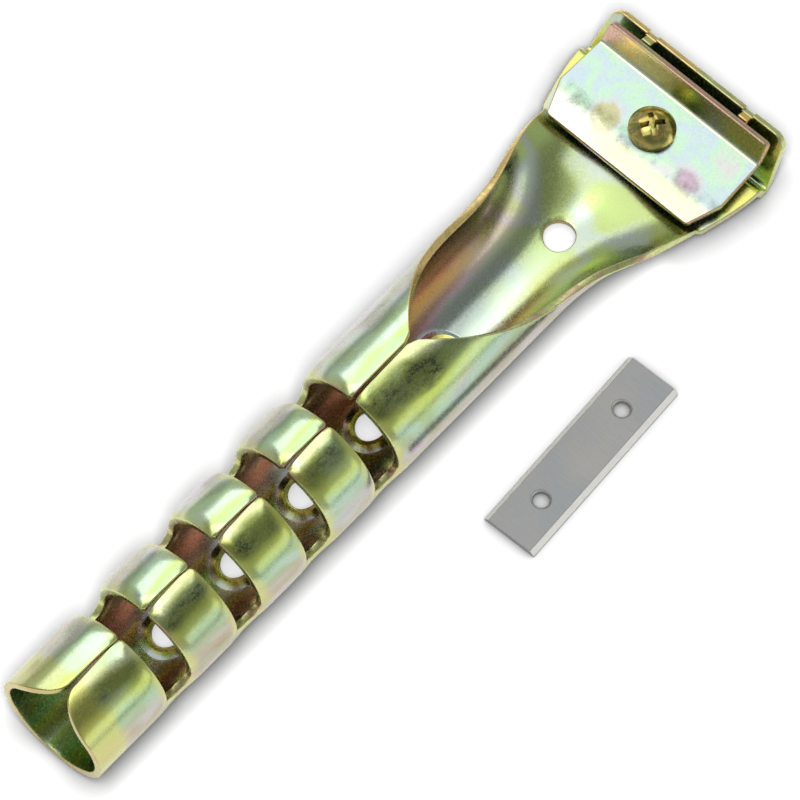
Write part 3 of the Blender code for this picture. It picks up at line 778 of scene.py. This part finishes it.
def inner_film():
    """Inside: brown and green in the tube, rings and boss with painted highlights, a channel with a painted
    highlight streak along its bottom, then green and grey.
    """
    made, tree, shader, place = new_material("zinc_film_inside")
    x, y, z = parts_of(tree, place)
    drawn = stretched(tree, place, (0.5, 1.0, 1.0))
    patches = noise(tree, drawn, 55.0, 2.0, 0.5, 0.5)
    tube = across_tool(tree, maths(tree, "ADD", y, waver(tree, patches, 0.004)), ACROSS_THE_TUBE)
    heel = ramp(tree, patches, ((0.4, DEEP_GREEN), (0.56, DEEP_TEAL), (0.66, DEEP_BROWN)))
    tube = mix(tree, from_heel(tree, x, HEEL_FILM), heel, tube)
    # Raised ring tops turn gold-yellow: gold film lightened as a painted highlight
    raised = remap(tree, z, SHEET + GILT_AND_HIGHLIGHT_RISE[0], SHEET + GILT_AND_HIGHLIGHT_RISE[1], 0.0, 0.9)
    middle = band(tree, y, -RING_BASE_RADIUS, RING_BASE_RADIUS, 0.0004)
    gilt_and_highlight = plain(tree, YELLOW)
    tube = mix(tree, maths(tree, "MULTIPLY", raised, middle), tube, gilt_and_highlight)
    # A pale painted highlight round the foot of each ring
    from_ring = distance(tree, off_nearest(tree, x, ring_centre(0)), y)
    foot_highlight = band(tree, from_ring, RING_BASE_RADIUS + HIGHLIGHT_FOOT_REACH[0], RING_BASE_RADIUS + HIGHLIGHT_FOOT_REACH[1],
                SPOT_SOFT)
    low = remap(tree, z, SHEET + HIGHLIGHT_FOOT_TOP[0], SHEET + HIGHLIGHT_FOOT_TOP[1], 1.0, 0.0)
    pale = plain(tree, COLLAR_HIGHLIGHT)
    tube = mix(tree, maths(tree, "MULTIPLY", foot_highlight, low), tube, pale)
    wander = waver(tree, noise(tree, drawn, 45.0), 0.003)
    # Channel colour across the tool, with its painted highlight streak
    channel = across_tool(tree, maths(tree, "ADD", y, wander), FILM_AND_PAINTED_STREAK_ACROSS_THE_CHANNEL)
    # The boss gets the same pale and gold painted highlights
    from_boss = maths(tree, "SUBTRACT", x, HEEL_X + BOSS_AT)
    channel = mix(tree, spot(tree, from_boss, y, RING_BASE_RADIUS), channel, pale)
    channel = mix(tree, spot(tree, from_boss, y, RING_TOP_RADIUS), channel, gilt_and_highlight)
    jaw = ramp(tree, noise(tree, place, 58.0, 1.5, 0.4, 0.3),
               ((0.32, SOFT_GREEN), (0.42, SOFT_LIME), (0.5, LIGHT_STONE), (0.58, SOFT_GREEN),
                (0.7, YELLOW)))
    colour = mix(tree, from_heel(tree, x, CHANNEL_FILM), tube, channel)
    colour = mix(tree, from_heel(tree, x, JAW_FILM), colour, jaw)
    return finish(made, tree, shader, place, colour)


def rim_film(name, first, second, gilded=False):
    """Sheared edges, where the film is thicker; gold on the channel's left side and brass at the heel."""
    made, tree, shader, place = new_material(name)
    colour = ramp(tree, noise(tree, place, 95.0, 3.0, 0.55), ((0.5, first), (0.64, second)))
    if gilded:
        x, y, _ = parts_of(tree, place)
        left = remap(tree, y, 0.0, 0.002, 0.0, 0.85)
        gold = maths(tree, "MULTIPLY", left, from_heel(tree, x, GOLD_EDGE))
        brass = remap(tree, x, HEEL_X + BRASS_EDGE[0], HEEL_X + BRASS_EDGE[1], 0.8, 0.0)
        colour = mix(tree, gold, colour, plain(tree, EDGE_GOLD))
        colour = mix(tree, brass, colour, plain(tree, EDGE_BRASS))
    lines = noise(tree, stretched(tree, place, (0.1, 0.1, 1.0)), 2600.0, 2.0)
    dark_marks = remap(tree, lines, 0.52, 0.62, 0.0, 0.25)
    return finish(made, tree, shader, place, colour, (0.2, 0.34), dark_marks)


def plate_film():
    """Top of the clamp plate: pale mint and blue with two stains, cream painted highlights on the rear rise
    and along the front fold, gold to olive lip.
    """
    made, tree, shader, place = new_material("zinc_film_plate")
    x, y, z = parts_of(tree, place)
    cloud = noise(tree, place, 85.0, 3.0, 0.5, 0.3)
    colour = ramp(tree, cloud, ((0.3, PALE_SKY), (0.42, PALE_MINT), (0.52, PALE_SKY), (0.6, PALE_MINT),
                                (0.72, PALE_ROSE)))
    rear = CLAMP_REAR + HEEL_X
    speckle = noise(tree, place, 1900.0, 4.0, 0.7)
    ragged_x = maths(tree, "ADD", x, waver(tree, speckle, 0.0007))
    ragged_x = maths(tree, "ADD", ragged_x, waver(tree, cloud, 0.001))
    dark_marks = maths(tree, "MULTIPLY", band(tree, ragged_x, rear + WORN_LINE[0], rear + WORN_LINE[1], 0.001),
                 remap(tree, noise(tree, place, 160.0, 2.0), 0.42, 0.6, 0.0, 0.55))
    stain_x = rear + STAIN_FROM_REAR
    behind = remap(tree, x, stain_x, stain_x + STAIN_FROM_REAR * 0.3, 1.0, 0.0)
    for stain_y, core, reach in STAINS:
        away = tree.nodes.new("ShaderNodeVectorMath")
        away.operation = "DISTANCE"
        away.inputs[1].default_value = (stain_x, stain_y, CLAMP_TOP)
        tree.links.new(place, away.inputs[0])
        ragged = maths(tree, "ADD", away.outputs["Value"], waver(tree, cloud, 0.0018))
        ragged = maths(tree, "ADD", ragged, waver(tree, speckle, 0.0006))
        stain = ramp(tree, remap(tree, ragged, 0.0, reach, 0.0, 1.0),
                     ((0.0, core), (0.35, core), (0.6, PALE_ROSE), (1.0, PALE_SKY)))
        colour = mix(tree, remap(tree, ragged, reach * 0.55, reach, 0.85, 0.0), colour, stain)
        ring = maths(tree, "MULTIPLY", band(tree, ragged, reach * 0.35, reach * 0.65, 0.0008), 0.4)
        dark_marks = maths(tree, "MAXIMUM", dark_marks, maths(tree, "MULTIPLY", ring, behind))
    # A cream strip across the rear rise, painted as a highlight
    across = remap(tree, y, CLAMP_HALF, -CLAMP_HALF, 0.0, 1.0)
    pale = ramp(tree, across, ((0.0, STRAW), (0.12, WHITE_CREAM), (0.4, CREAM)))
    colour = mix(tree, remap(tree, ragged_x, rear + HIGHLIGHT_STRIP[0], rear + HIGHLIGHT_STRIP[1], 0.92, 0.0), colour, pale)
    wander = waver(tree, noise(tree, place, 90.0), 0.006)
    along = remap(tree, maths(tree, "ADD", y, wander), CLAMP_HALF, -CLAMP_HALF, 0.0, 1.0)
    lip = ramp(tree, along, ALONG_THE_LIP)
    raised = remap(tree, z, CLAMP_TOP + LIP_FILM[0], CLAMP_TOP + LIP_FILM[1], 0.0, 1.0)
    # A cream line painted as a highlight along the front fold into the lip
    fold_highlight = band(tree, z, CLAMP_TOP + FOLD_HIGHLIGHT[0], CLAMP_TOP + FOLD_HIGHLIGHT[1], FOLD_HIGHLIGHT[0])
    colour = mix(tree, raised, mix(tree, fold_highlight, colour, plain(tree, CREAM)), lip)
    return finish(made, tree, shader, place, colour, (0.2, 0.34), dark_marks)


def screw_film():
    """Darker olive and gold plating on the screw and nut."""
    made, tree, shader, place = new_material("zinc_film_screw")
    colour = ramp(tree, noise(tree, place, 240.0, 3.0, 0.5, 0.4),
                  ((0.32, BROWN), (0.42, OLIVE), (0.54, GOLD), (0.62, OLIVE), (0.72, ROSE)))
    return finish(made, tree, shader, place, colour, (0.1, 0.18))


def carbide():
    """Ground carbide: faint lines across the blade, and brighter bevels."""
    made, tree, shader, place = new_material("ground_carbide")
    lines = noise(tree, stretched(tree, place, (3200.0, 260.0, 900.0)), 1.0, 4.0, 0.65)
    cloud = noise(tree, place, 60.0, 2.0)
    face = ramp(tree, lines, ((NOISE_LOW, LINE_DARK), (NOISE_HIGH, LINE_PALE)))
    tone = ramp(tree, cloud, ((NOISE_LOW, TONE_COOL), (NOISE_HIGH, TONE_WARM)))
    face = mix(tree, 1.0, face, tone, "MULTIPLY")
    geometry = tree.nodes.new("ShaderNodeNewGeometry")
    _, _, upward = parts_of(tree, geometry.outputs["Normal"])
    slope = band(tree, upward, *BEVEL_SLOPE)
    colour = mix(tree, slope, face, plain(tree, BEVEL_PALE))
    tree.links.new(colour, shader.inputs["Base Color"])
    shader.inputs["Metallic"].default_value = 1.0
    tree.links.new(remap(tree, lines, NOISE_LOW, NOISE_HIGH, 0.42, 0.56), shader.inputs["Roughness"])
    bumped(tree, shader, lines, 0.12, 0.00004)
    return made


# Body
def body_profile():
    """Tube bottom, ramp, seat, trough and wall."""
    bottom = SHEET / 2
    seat = bottom + SEAT_LIFT
    cut = TROUGH_BEND * math.tan((TROUGH_SLOPE + WALL_ANGLE) / 2)
    sink = cut * math.sin(TROUGH_SLOPE) + TROUGH_BEND * math.cos(TROUGH_SLOPE) - TROUGH_BEND
    trough_z = bottom - sink
    trough_x = SEAT_FRONT + (seat - trough_z) / math.tan(TROUGH_SLOPE)
    wall_top = np.array((trough_x, trough_z)) + WALL_WAY * (WALL_TOP - trough_z) / WALL_WAY[1]
    corners = ((0, bottom), (RAMP_START, bottom), (RAMP_END, seat), (SEAT_FRONT, seat),
               (trough_x, trough_z), wall_top)
    return Profile(corners, (RAMP_BEND, RAMP_BEND, SEAT_BEND, TROUGH_BEND))


def tube_radius(s):
    share = s / SEAM_LENGTH
    return HEEL_OUTER_RADIUS + (SEAM_END_OUTER_RADIUS - HEEL_OUTER_RADIUS) * share - SHEET / 2


def tube_half(s):
    return math.pi * tube_radius(s) - SEAM_GAP / 2


def body_curvature(s):
    """Curvature across the sheet: the tube's own, fading to flat before the jaw."""
    share = (s - ROLL_FADE_START) / (ROLL_FADE_END - ROLL_FADE_START)
    share = min(max(share, 0.0), 1.0)
    return (1 - share * share) / tube_radius(s)


def window_centre(index):
    return WINDOW_FIRST + index * WINDOW_PITCH


def ring_centre(index):
    return window_centre(index) + WINDOW_PITCH / 2


def window_outline(at):
    """One side of a window: rounded mouth at the seam and a round end down the tube's side."""
    half = WINDOW_WIDTH / 2
    corner = (WINDOW_CORNER, WINDOW_CORNER)
    mouth = tube_half(at) - WINDOW_CORNER
    end = tube_half(at) - WINDOW_REACH * tube_radius(at) + half
    points = arc((at - half - WINDOW_CORNER, mouth), corner, QUARTER, 0, ARC_FACETS // 2)
    points += arc((at, end), (half, half), math.pi, math.tau, ARC_FACETS * 2)
    points += arc((at + half + WINDOW_CORNER, mouth), corner, math.pi, QUARTER, ARC_FACETS // 2)
    return points


def channel_outline():
    """One side of the open channel, from the end of the seam to the jaw."""
    fall = tube_half(SEAM_LENGTH) - NECK_HALF_WIDTH
    run = NECK_AT - SEAM_LENGTH
    points = [(SEAM_LENGTH - SEAM_END_ROUND, tube_half(SEAM_LENGTH - SEAM_END_ROUND))]
    for i in range(1, CHANNEL_FACETS + 1):
        share = i / CHANNEL_FACETS
        points.append((SEAM_LENGTH + run * share, NECK_HALF_WIDTH + fall * (1 - share) ** FLARE_POWER))
    return points


def jaw_outline(profile):
    """One side of the jaw: step out, widening to the trough, wall and a tab's notch in its edge."""
    trough = profile.parts[-2][1]
    narrow = NECK_HALF_WIDTH + STEP_OUT
    widened = STEP_AT + STEP_LENGTH
    points = [(STEP_AT, NECK_HALF_WIDTH)]
    for i in range(ARC_FACETS + 1):
        share = i / ARC_FACETS
        points.append((widened + (trough - widened) * share,
                       narrow + (TROUGH_HALF_WIDTH - narrow) * math.sin(share * QUARTER)))
    end = profile.length
    points += arc((end - WALL_CORNER, WALL_TOP_HALF_WIDTH - WALL_CORNER), (WALL_CORNER, WALL_CORNER),
                  QUARTER, 0, ARC_FACETS)
    for side in (1, -1):
        t = TAB_SPACING / 2 + side * TAB_WIDTH / 2
        notch = [(end, t), (end - TAB_NOTCH, t)]
        points += notch if side > 0 else notch[::-1]
    return points + [(end, 0.0)]


def window_edges():
    """Every point of the windows' outlines, on both sides of the blank."""
    half = []
    for index in range(WINDOW_COUNT):
        outline = window_outline(window_centre(index))
        for a, b in zip(outline, outline[1:]):
            count = math.ceil(math.dist(a, b) / EDGE_STEP)
            half += [(a[0] + (b[0] - a[0]) * i / count, a[1] + (b[1] - a[1]) * i / count)
                     for i in range(count)]
    return np.array(half + [(s, -t) for s, t in half])


def draw_in(edges, s, t):
    """How far the sheet is drawn towards the tube's axis beside a window."""
    away = np.min(np.hypot(edges[:, 0] - s, edges[:, 1] - t))
    share = max(1 - away / DRAW_REACH, 0.0)
    return DRAW_DEPTH * share * share


def body_half_outline(profile):
    points = [(0.0, 0.0)]
    points += arc((HEEL_ROUND_LENGTH, tube_half(0) - HEEL_ROUND_WIDTH),
                  (-HEEL_ROUND_LENGTH, HEEL_ROUND_WIDTH), 0, QUARTER, ARC_FACETS * 2)
    for index in range(WINDOW_COUNT):
        points += window_outline(window_centre(index))
    return points + channel_outline() + jaw_outline(profile)


def ring_lift(s, t):
    """How far the raised rings and the blind boss lift the sheet towards the tube's axis."""
    for centre in [ring_centre(i) for i in range(RING_COUNT)] + [BOSS_AT]:
        away = math.hypot(s - centre, t)
        if away < RING_BASE_RADIUS:
            share = min((RING_BASE_RADIUS - away) / (RING_BASE_RADIUS - RING_TOP_RADIUS), 1.0)
            return RING_RISE * share * share * (3 - 2 * share)
    return 0.0


def ring_guides():
    """Extra points round each raised ring and the boss."""
    width = RING_BASE_RADIUS - RING_HOLE_RADIUS
    shares = (0.25, 0.5, 0.75, 1.0)
    guides = [circle((ring_centre(i), 0), RING_HOLE_RADIUS + width * share)
              for i in range(RING_COUNT) for share in shares]
    return guides + [circle((BOSS_AT, 0), RING_HOLE_RADIUS + width * share) for share in (0.0, *shares)]


def make_body(materials, tab_material):
    profile = body_profile()
    loops = [subdivide(mirrored(body_half_outline(profile)), profile.bend_columns())]
    loops += [circle((ring_centre(i), 0), RING_HOLE_RADIUS) for i in range(RING_COUNT)]
    loops.append(circle((profile.length_at_x(HANG_HOLE_AT), 0), HANG_HOLE_RADIUS))
    loops.append(circle((profile.length_at_x(SCREW_AT), 0), SCREW_HOLE_RADIUS))

    edges = window_edges()

    def place(s, t, lift):
        lift += ring_lift(s, t) + (draw_in(edges, s, t) if s < SEAM_LENGTH else 0.0)
        return fold(profile, body_curvature, s, t, lift)

    width = tube_half(SEAM_LENGTH)
    mesh = blank_mesh("rolled_sheet", loops, ring_guides(), width, profile.columns(), place)
    body = add_piece("rolled_sheet", mesh, "body", "handle_body", "yellow_zinc", *materials)
    round_shade(body)
    (x, z), _ = profile.at(profile.length - TAB_BELOW_EDGE)
    depth = TAB_LENGTH + SHEET / 2
    along = Vector((WALL_WAY[0], 0, WALL_WAY[1]))
    off = Vector((WALL_OFF[0], 0, WALL_OFF[1]))
    turned = Matrix((along, off.cross(along), off)).transposed().to_4x4()
    for side, word in ((-1, "right"), (1, "left")):
        middle = Vector((HEEL_X + x, side * TAB_SPACING / 2, z)) + off * depth / 2
        tab = box_mesh("blade_tab_" + word, (TAB_THICK, TAB_WIDTH, depth))
        tab.transform(Matrix.Translation(middle) @ turned)
        piece = add_piece("blade_tab_" + word, tab, "body", None, "yellow_zinc", tab_material)
        rounded(piece, RIM_ROUND, 3)
        round_shade(piece)


def clamp_profile():
    """Rear rise, flat top and a lip that stands parallel to the jaw's wall."""
    wall_foot = body_profile().at(body_profile().length)[0]
    lip_line = wall_foot + WALL_OFF * (SHEET + CLAMP_TO_WALL)
    flat = CLAMP_TOP - SHEET / 2
    front = lip_line + WALL_WAY * (flat - lip_line[1]) / WALL_WAY[1]
    corners = ((CLAMP_REAR, flat - CLAMP_RISE), (CLAMP_REAR + CLAMP_RISE_RUN, flat), front,
               front + WALL_WAY * LIP_LENGTH)
    return Profile(corners, (CLAMP_REAR_BEND, CLAMP_BEND))


def make_clamp(materials):
    profile = clamp_profile()
    corner = (CLAMP_CORNER, CLAMP_CORNER)
    half = [(0.0, 0.0)]
    half += arc((CLAMP_CORNER, CLAMP_REAR_HALF - CLAMP_CORNER), (-CLAMP_CORNER, CLAMP_CORNER),
                0, QUARTER, ARC_FACETS // 2)
    half.append((CLAMP_RISE_RUN, CLAMP_HALF))
    half += arc((profile.length - CLAMP_CORNER, LIP_HALF - CLAMP_CORNER), corner,
                QUARTER, 0, ARC_FACETS // 2)
    half.append((profile.length, 0.0))
    hole = circle((profile.length_at_x(SCREW_AT), 0), SCREW_HOLE_RADIUS)

    def place(s, t, lift):
        return fold(profile, flat_across, s, t, lift)

    loops = [subdivide(mirrored(half), profile.bend_columns()), hole]
    mesh = blank_mesh("bent_plate", loops, [], CLAMP_HALF, profile.columns(), place)
    clamp = add_piece("bent_plate", mesh, "clamp", "clamp_plate", "yellow_zinc", *materials)
    round_shade(clamp)


def turned_mesh(name, outline):
    """A profile of (radius, height) pairs turned about Z."""
    work = bmesh.new()
    verts = [work.verts.new((r, 0, z)) for r, z in outline]
    edges = [work.edges.new(pair) for pair in zip(verts, verts[1:])]
    bmesh.ops.spin(work, geom=verts + edges, cent=(0, 0, 0), axis=(0, 0, 1), angle=math.tau,
                   steps=ROUND_FACETS)
    bmesh.ops.remove_doubles(work, verts=work.verts, dist=WELD)
    bmesh.ops.recalc_face_normals(work, faces=work.faces)
    return mesh_of(work, name)


def make_screw(material):
    """Pan head screw with a cross recess and a ringed shank."""
    centre = Vector((HEEL_X + SCREW_AT, 0, SCREW_HIGH.z - HEAD_HEIGHT))
    length = centre.z - SCREW_LOW.z
    dome = HEAD_HEIGHT - HEAD_SIDE
    radius = (HEAD_RADIUS ** 2 + dome ** 2) / (2 * dome)
    spread = math.asin(HEAD_RADIUS / radius)
    angles = [spread * i / ARC_FACETS for i in range(ARC_FACETS + 1)]
    outline = [(radius * math.sin(a), HEAD_HEIGHT - radius * (1 - math.cos(a))) for a in angles]
    outline += [(HEAD_RADIUS, 0.0), (SHANK_RADIUS, 0.0)]
    crests = int(length / THREAD_PITCH) - 1
    for i in range(crests):
        z = -(i + 1) * THREAD_PITCH
        outline += [(SHANK_RADIUS, z + THREAD_PITCH / 4), (SHANK_RADIUS - THREAD_DEPTH, z)]
    outline += [(SHANK_RADIUS, -crests * THREAD_PITCH - THREAD_PITCH / 4),
                (SHANK_RADIUS - THREAD_DEPTH, -length), (0.0, -length)]
    mesh = turned_mesh("pan_screw", outline)
    mesh.transform(Matrix.Translation(centre))
    screw = add_piece("pan_screw", mesh, "screw", "clamp_screw", "zinc_screw", material)
    depth = RECESS_DEPTH + HEAD_HEIGHT
    middle = Matrix.Translation(centre + Vector((0, 0, HEAD_HEIGHT - RECESS_DEPTH + depth / 2)))
    for index in range(2):
        wing = box_mesh("wing", (RECESS_REACH * 2, RECESS_WIDTH, depth), lower_share=RECESS_TAPER)
        cut_with(screw, wing, middle @ Matrix.Rotation(RECESS_TURN + index * QUARTER, 4, "Z"))
    rounded(screw, RIM_ROUND / 2, 2, 40)
    round_shade(screw)


def make_nut(material):
    corner_radius = NUT_ACROSS_FLATS / 2 / math.cos(math.pi / 6)
    height = NUT_HIGH.z - NUT_LOW.z
    mesh = bar_mesh("hex_nut", corner_radius, corner_radius, height, 6)
    middle = Matrix.Translation(((NUT_LOW.x + NUT_HIGH.x) / 2, 0, (NUT_LOW.z + NUT_HIGH.z) / 2))
    mesh.transform(middle)
    nut = add_piece("hex_nut", mesh, "body", "clamp_nut", "zinc_screw", material)
    cut_with(nut, bar_mesh("bore", BORE_RADIUS, BORE_RADIUS, height * 2), middle)
    rounded(nut, RIM_ROUND, 2)
    round_shade(nut)


def make_blade(material):
    """A reversible blade with a cutting edge ground along each long side."""
    low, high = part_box("blade")
    half = BLADE_WIDTH / 2
    top = half - BLADE_BEVEL
    section = [(-half, 0), (half, 0), (half, BLADE_EDGE), (top, BLADE_THICK), (-top, BLADE_THICK),
               (-half, BLADE_EDGE)]
    work = bmesh.new()
    face = work.faces.new([work.verts.new((-BLADE_LENGTH / 2, y, z)) for y, z in section])
    swept = bmesh.ops.extrude_face_region(work, geom=[face])
    moved = [v for v in swept["geom"] if isinstance(v, bmesh.types.BMVert)]
    bmesh.ops.translate(work, verts=moved, vec=(BLADE_LENGTH, 0, 0))
    bmesh.ops.recalc_face_normals(work, faces=work.faces)
    mesh = mesh_of(work, "carbide_blade")
    middle = ((low.x + high.x) / 2, (low.y + high.y) / 2, low.z)
    lie = Matrix.Translation(middle) @ Matrix.Rotation(BLADE_TURN, 4, "Z")
    mesh.transform(lie)
    blade = add_piece("carbide_blade", mesh, "body", "blade", "ground_carbide", material)
    for side in (-1, 1):
        x = side * TAB_SPACING / 2
        hole = bar_mesh("hole", BLADE_HOLE_RADIUS, BLADE_HOLE_RADIUS, BLADE_THICK * 3)
        cut_with(blade, hole, lie @ Matrix.Translation((x, 0, BLADE_THICK / 2)))
        depth = BLADE_SINK_DEPTH * 2
        sink = bar_mesh("sink", BLADE_HOLE_RADIUS, BLADE_HOLE_RADIUS + depth, depth)
        cut_with(blade, sink, lie @ Matrix.Translation((x, 0, BLADE_THICK)))
    rounded(blade, BLADE_ROUND, 2, 20)
    round_shade(blade, 25)


# Stage, light and camera
FLOOR_HALF = 4
FLOOR_DROP = 0.0001
FLOOR_COLOUR = 0.16
FLOOR_ROUGHNESS = 0.9
REFLECTED_GLOW = 0.1
HOLE_GLOW = 0.55
# Reach, power and samples of the painted shadow that darkens the floor round the tool
SHADOW_REACH = 0.0075
SHADOW_POWER = 1.6
SHADOW_SAMPLES = 16
RING_SPOT = 0.0045
HANG_SPOT = 0.0046
SEEN_AWAY = (0.31, 0.27)
LIT_MIDDLE = (0.06, 0.0, 0.0)
LAMPS = (("top", (0.54, 0.64, 1.39), (1.7, 1.7), 12.5),
         ("crest", (-0.34, 0.35, 1.5), (0.8, 0.8), 3.0),
         ("low", (0.5, -1.4, 0.4), (1.4, 0.5), 2.0))
FLOOR_LAMP = ("front", (-0.457, -0.398, 1.461), (0.7, 0.7), 168.0)
SKY_GREYS = ((0.0, 0.6), (0.55, 0.55), (0.7, 0.3), (0.93, 0.3), (1.0, 0.6))


def under_holes(tree, x, y):
    """Round patches of the floor that show through the rings' holes and the hanging hole."""
    rings = band(tree, x, HEEL_X + WINDOW_FIRST, HEEL_X + LAST_WINDOW + WINDOW_PITCH, 0.001)
    ring = spot(tree, off_nearest(tree, x, ring_centre(0)), y, RING_SPOT)
    profile = body_profile()
    below = profile.at(profile.length_at_x(HANG_HOLE_AT))[0][1] - SHEET / 2
    away_x = maths(tree, "SUBTRACT", x, HEEL_X + HANG_HOLE_AT + below * SEEN_AWAY[0])
    away_y = maths(tree, "SUBTRACT", y, below * SEEN_AWAY[1])
    return maths(tree, "MAXIMUM", maths(tree, "MULTIPLY", rings, ring),
                 spot(tree, away_x, away_y, HANG_SPOT))


def make_floor():
    """A pale floor, darkened round the tool by a painted shadow, that glows for reflections and under the
    holes.
    """
    work = bmesh.new()
    bmesh.ops.create_grid(work, x_segments=1, y_segments=1, size=FLOOR_HALF)
    mesh = mesh_of(work, "floor")
    floor = bpy.data.objects.new("floor", mesh)
    floor.location.z = -FLOOR_DROP
    bpy.context.scene.collection.objects.link(floor)
    made, tree, shader, place = new_material("pale_floor")
    # Ambient occlusion darkens the floor's colour round the tool as a painted shadow
    near = node(tree, "ShaderNodeAmbientOcclusion", Distance=SHADOW_REACH)
    near.samples = SHADOW_SAMPLES
    painted_shadow = maths(tree, "MULTIPLY", maths(tree, "POWER", near.outputs["AO"], SHADOW_POWER), FLOOR_COLOUR)
    tree.links.new(painted_shadow, shader.inputs["Base Color"])
    shader.inputs["Roughness"].default_value = FLOOR_ROUGHNESS
    path = tree.nodes.new("ShaderNodeLightPath")
    reflected = maths(tree, "MAXIMUM", path.outputs["Is Glossy Ray"], path.outputs["Is Transmission Ray"])
    x, y, _ = parts_of(tree, place)
    seen = maths(tree, "MULTIPLY", under_holes(tree, x, y), HOLE_GLOW)
    shown = maths(tree, "ADD", maths(tree, "MULTIPLY", path.outputs["Is Camera Ray"], seen),
                  maths(tree, "MULTIPLY", reflected, REFLECTED_GLOW))
    tree.links.new(shown, shader.inputs["Emission Strength"])
    shader.inputs["Emission Color"].default_value = (1, 1, 1, 1)
    mesh.materials.append(made)
    return floor


def add_lamp(name, place, size, power):
    light = bpy.data.lights.new(name, "AREA")
    light.shape = "RECTANGLE"
    light.size, light.size_y = size
    light.energy = power
    made = bpy.data.objects.new(name, light)
    made.location = place
    way = Vector(LIT_MIDDLE) - Vector(place)
    made.rotation_euler = way.to_track_quat("-Z", "Y").to_euler()
    bpy.context.scene.collection.objects.link(made)
    return made


def make_light(floor):
    """Three soft lamps on everything, one on the floor alone, and a grey sky."""
    for lamp in LAMPS:
        add_lamp(*lamp)
    floor_only = bpy.data.collections.new("floor_only")
    floor_only.objects.link(floor)
    add_lamp(*FLOOR_LAMP).light_linking.receiver_collection = floor_only
    world = bpy.data.worlds.new("studio")
    world.use_nodes = True
    tree = world.node_tree
    _, _, height = parts_of(tree, tree.nodes.new("ShaderNodeTexCoord").outputs["Generated"])
    sky = ramp(tree, height, [(at, (grey, grey, grey)) for at, grey in SKY_GREYS])
    tree.links.new(sky, tree.nodes["Background"].inputs["Color"])
    bpy.context.scene.world = world


def make_camera():
    data = bpy.data.cameras.new("camera")
    data.lens = LENS_MM
    data.sensor_width = SENSOR_MM
    data.clip_start = CLIP_START
    camera = bpy.data.objects.new("camera", data)
    bpy.context.scene.collection.objects.link(camera)
    back = Vector(CAMERA_BACK).normalized()
    right = Vector(CAMERA_RIGHT)
    right = (right - back * right.dot(back)).normalized()
    up = back.cross(right)
    turn = Matrix((right, up, back)).transposed().to_4x4()
    camera.matrix_world = Matrix.Translation(CAMERA_AT) @ turn
    bpy.context.scene.camera = camera


bpy.context.scene.view_settings.view_transform = "Standard"
make_camera()
make_light(make_floor())
outside = outer_film()
inside_film = inner_film()
make_body((inside_film, outside, rim_film("zinc_film_edges", EDGE_LIME, EDGE_ROSE, True)),
          rim_film("zinc_film_tabs", TAB_GOLD, EDGE_LIME))
make_clamp((plate_film(), inside_film, rim_film("zinc_film_plate_edges", EDGE_ROSE, DULL_YELLOW)))
screw_zinc = screw_film()
make_screw(screw_zinc)
make_nut(screw_zinc)
make_blade(carbide())
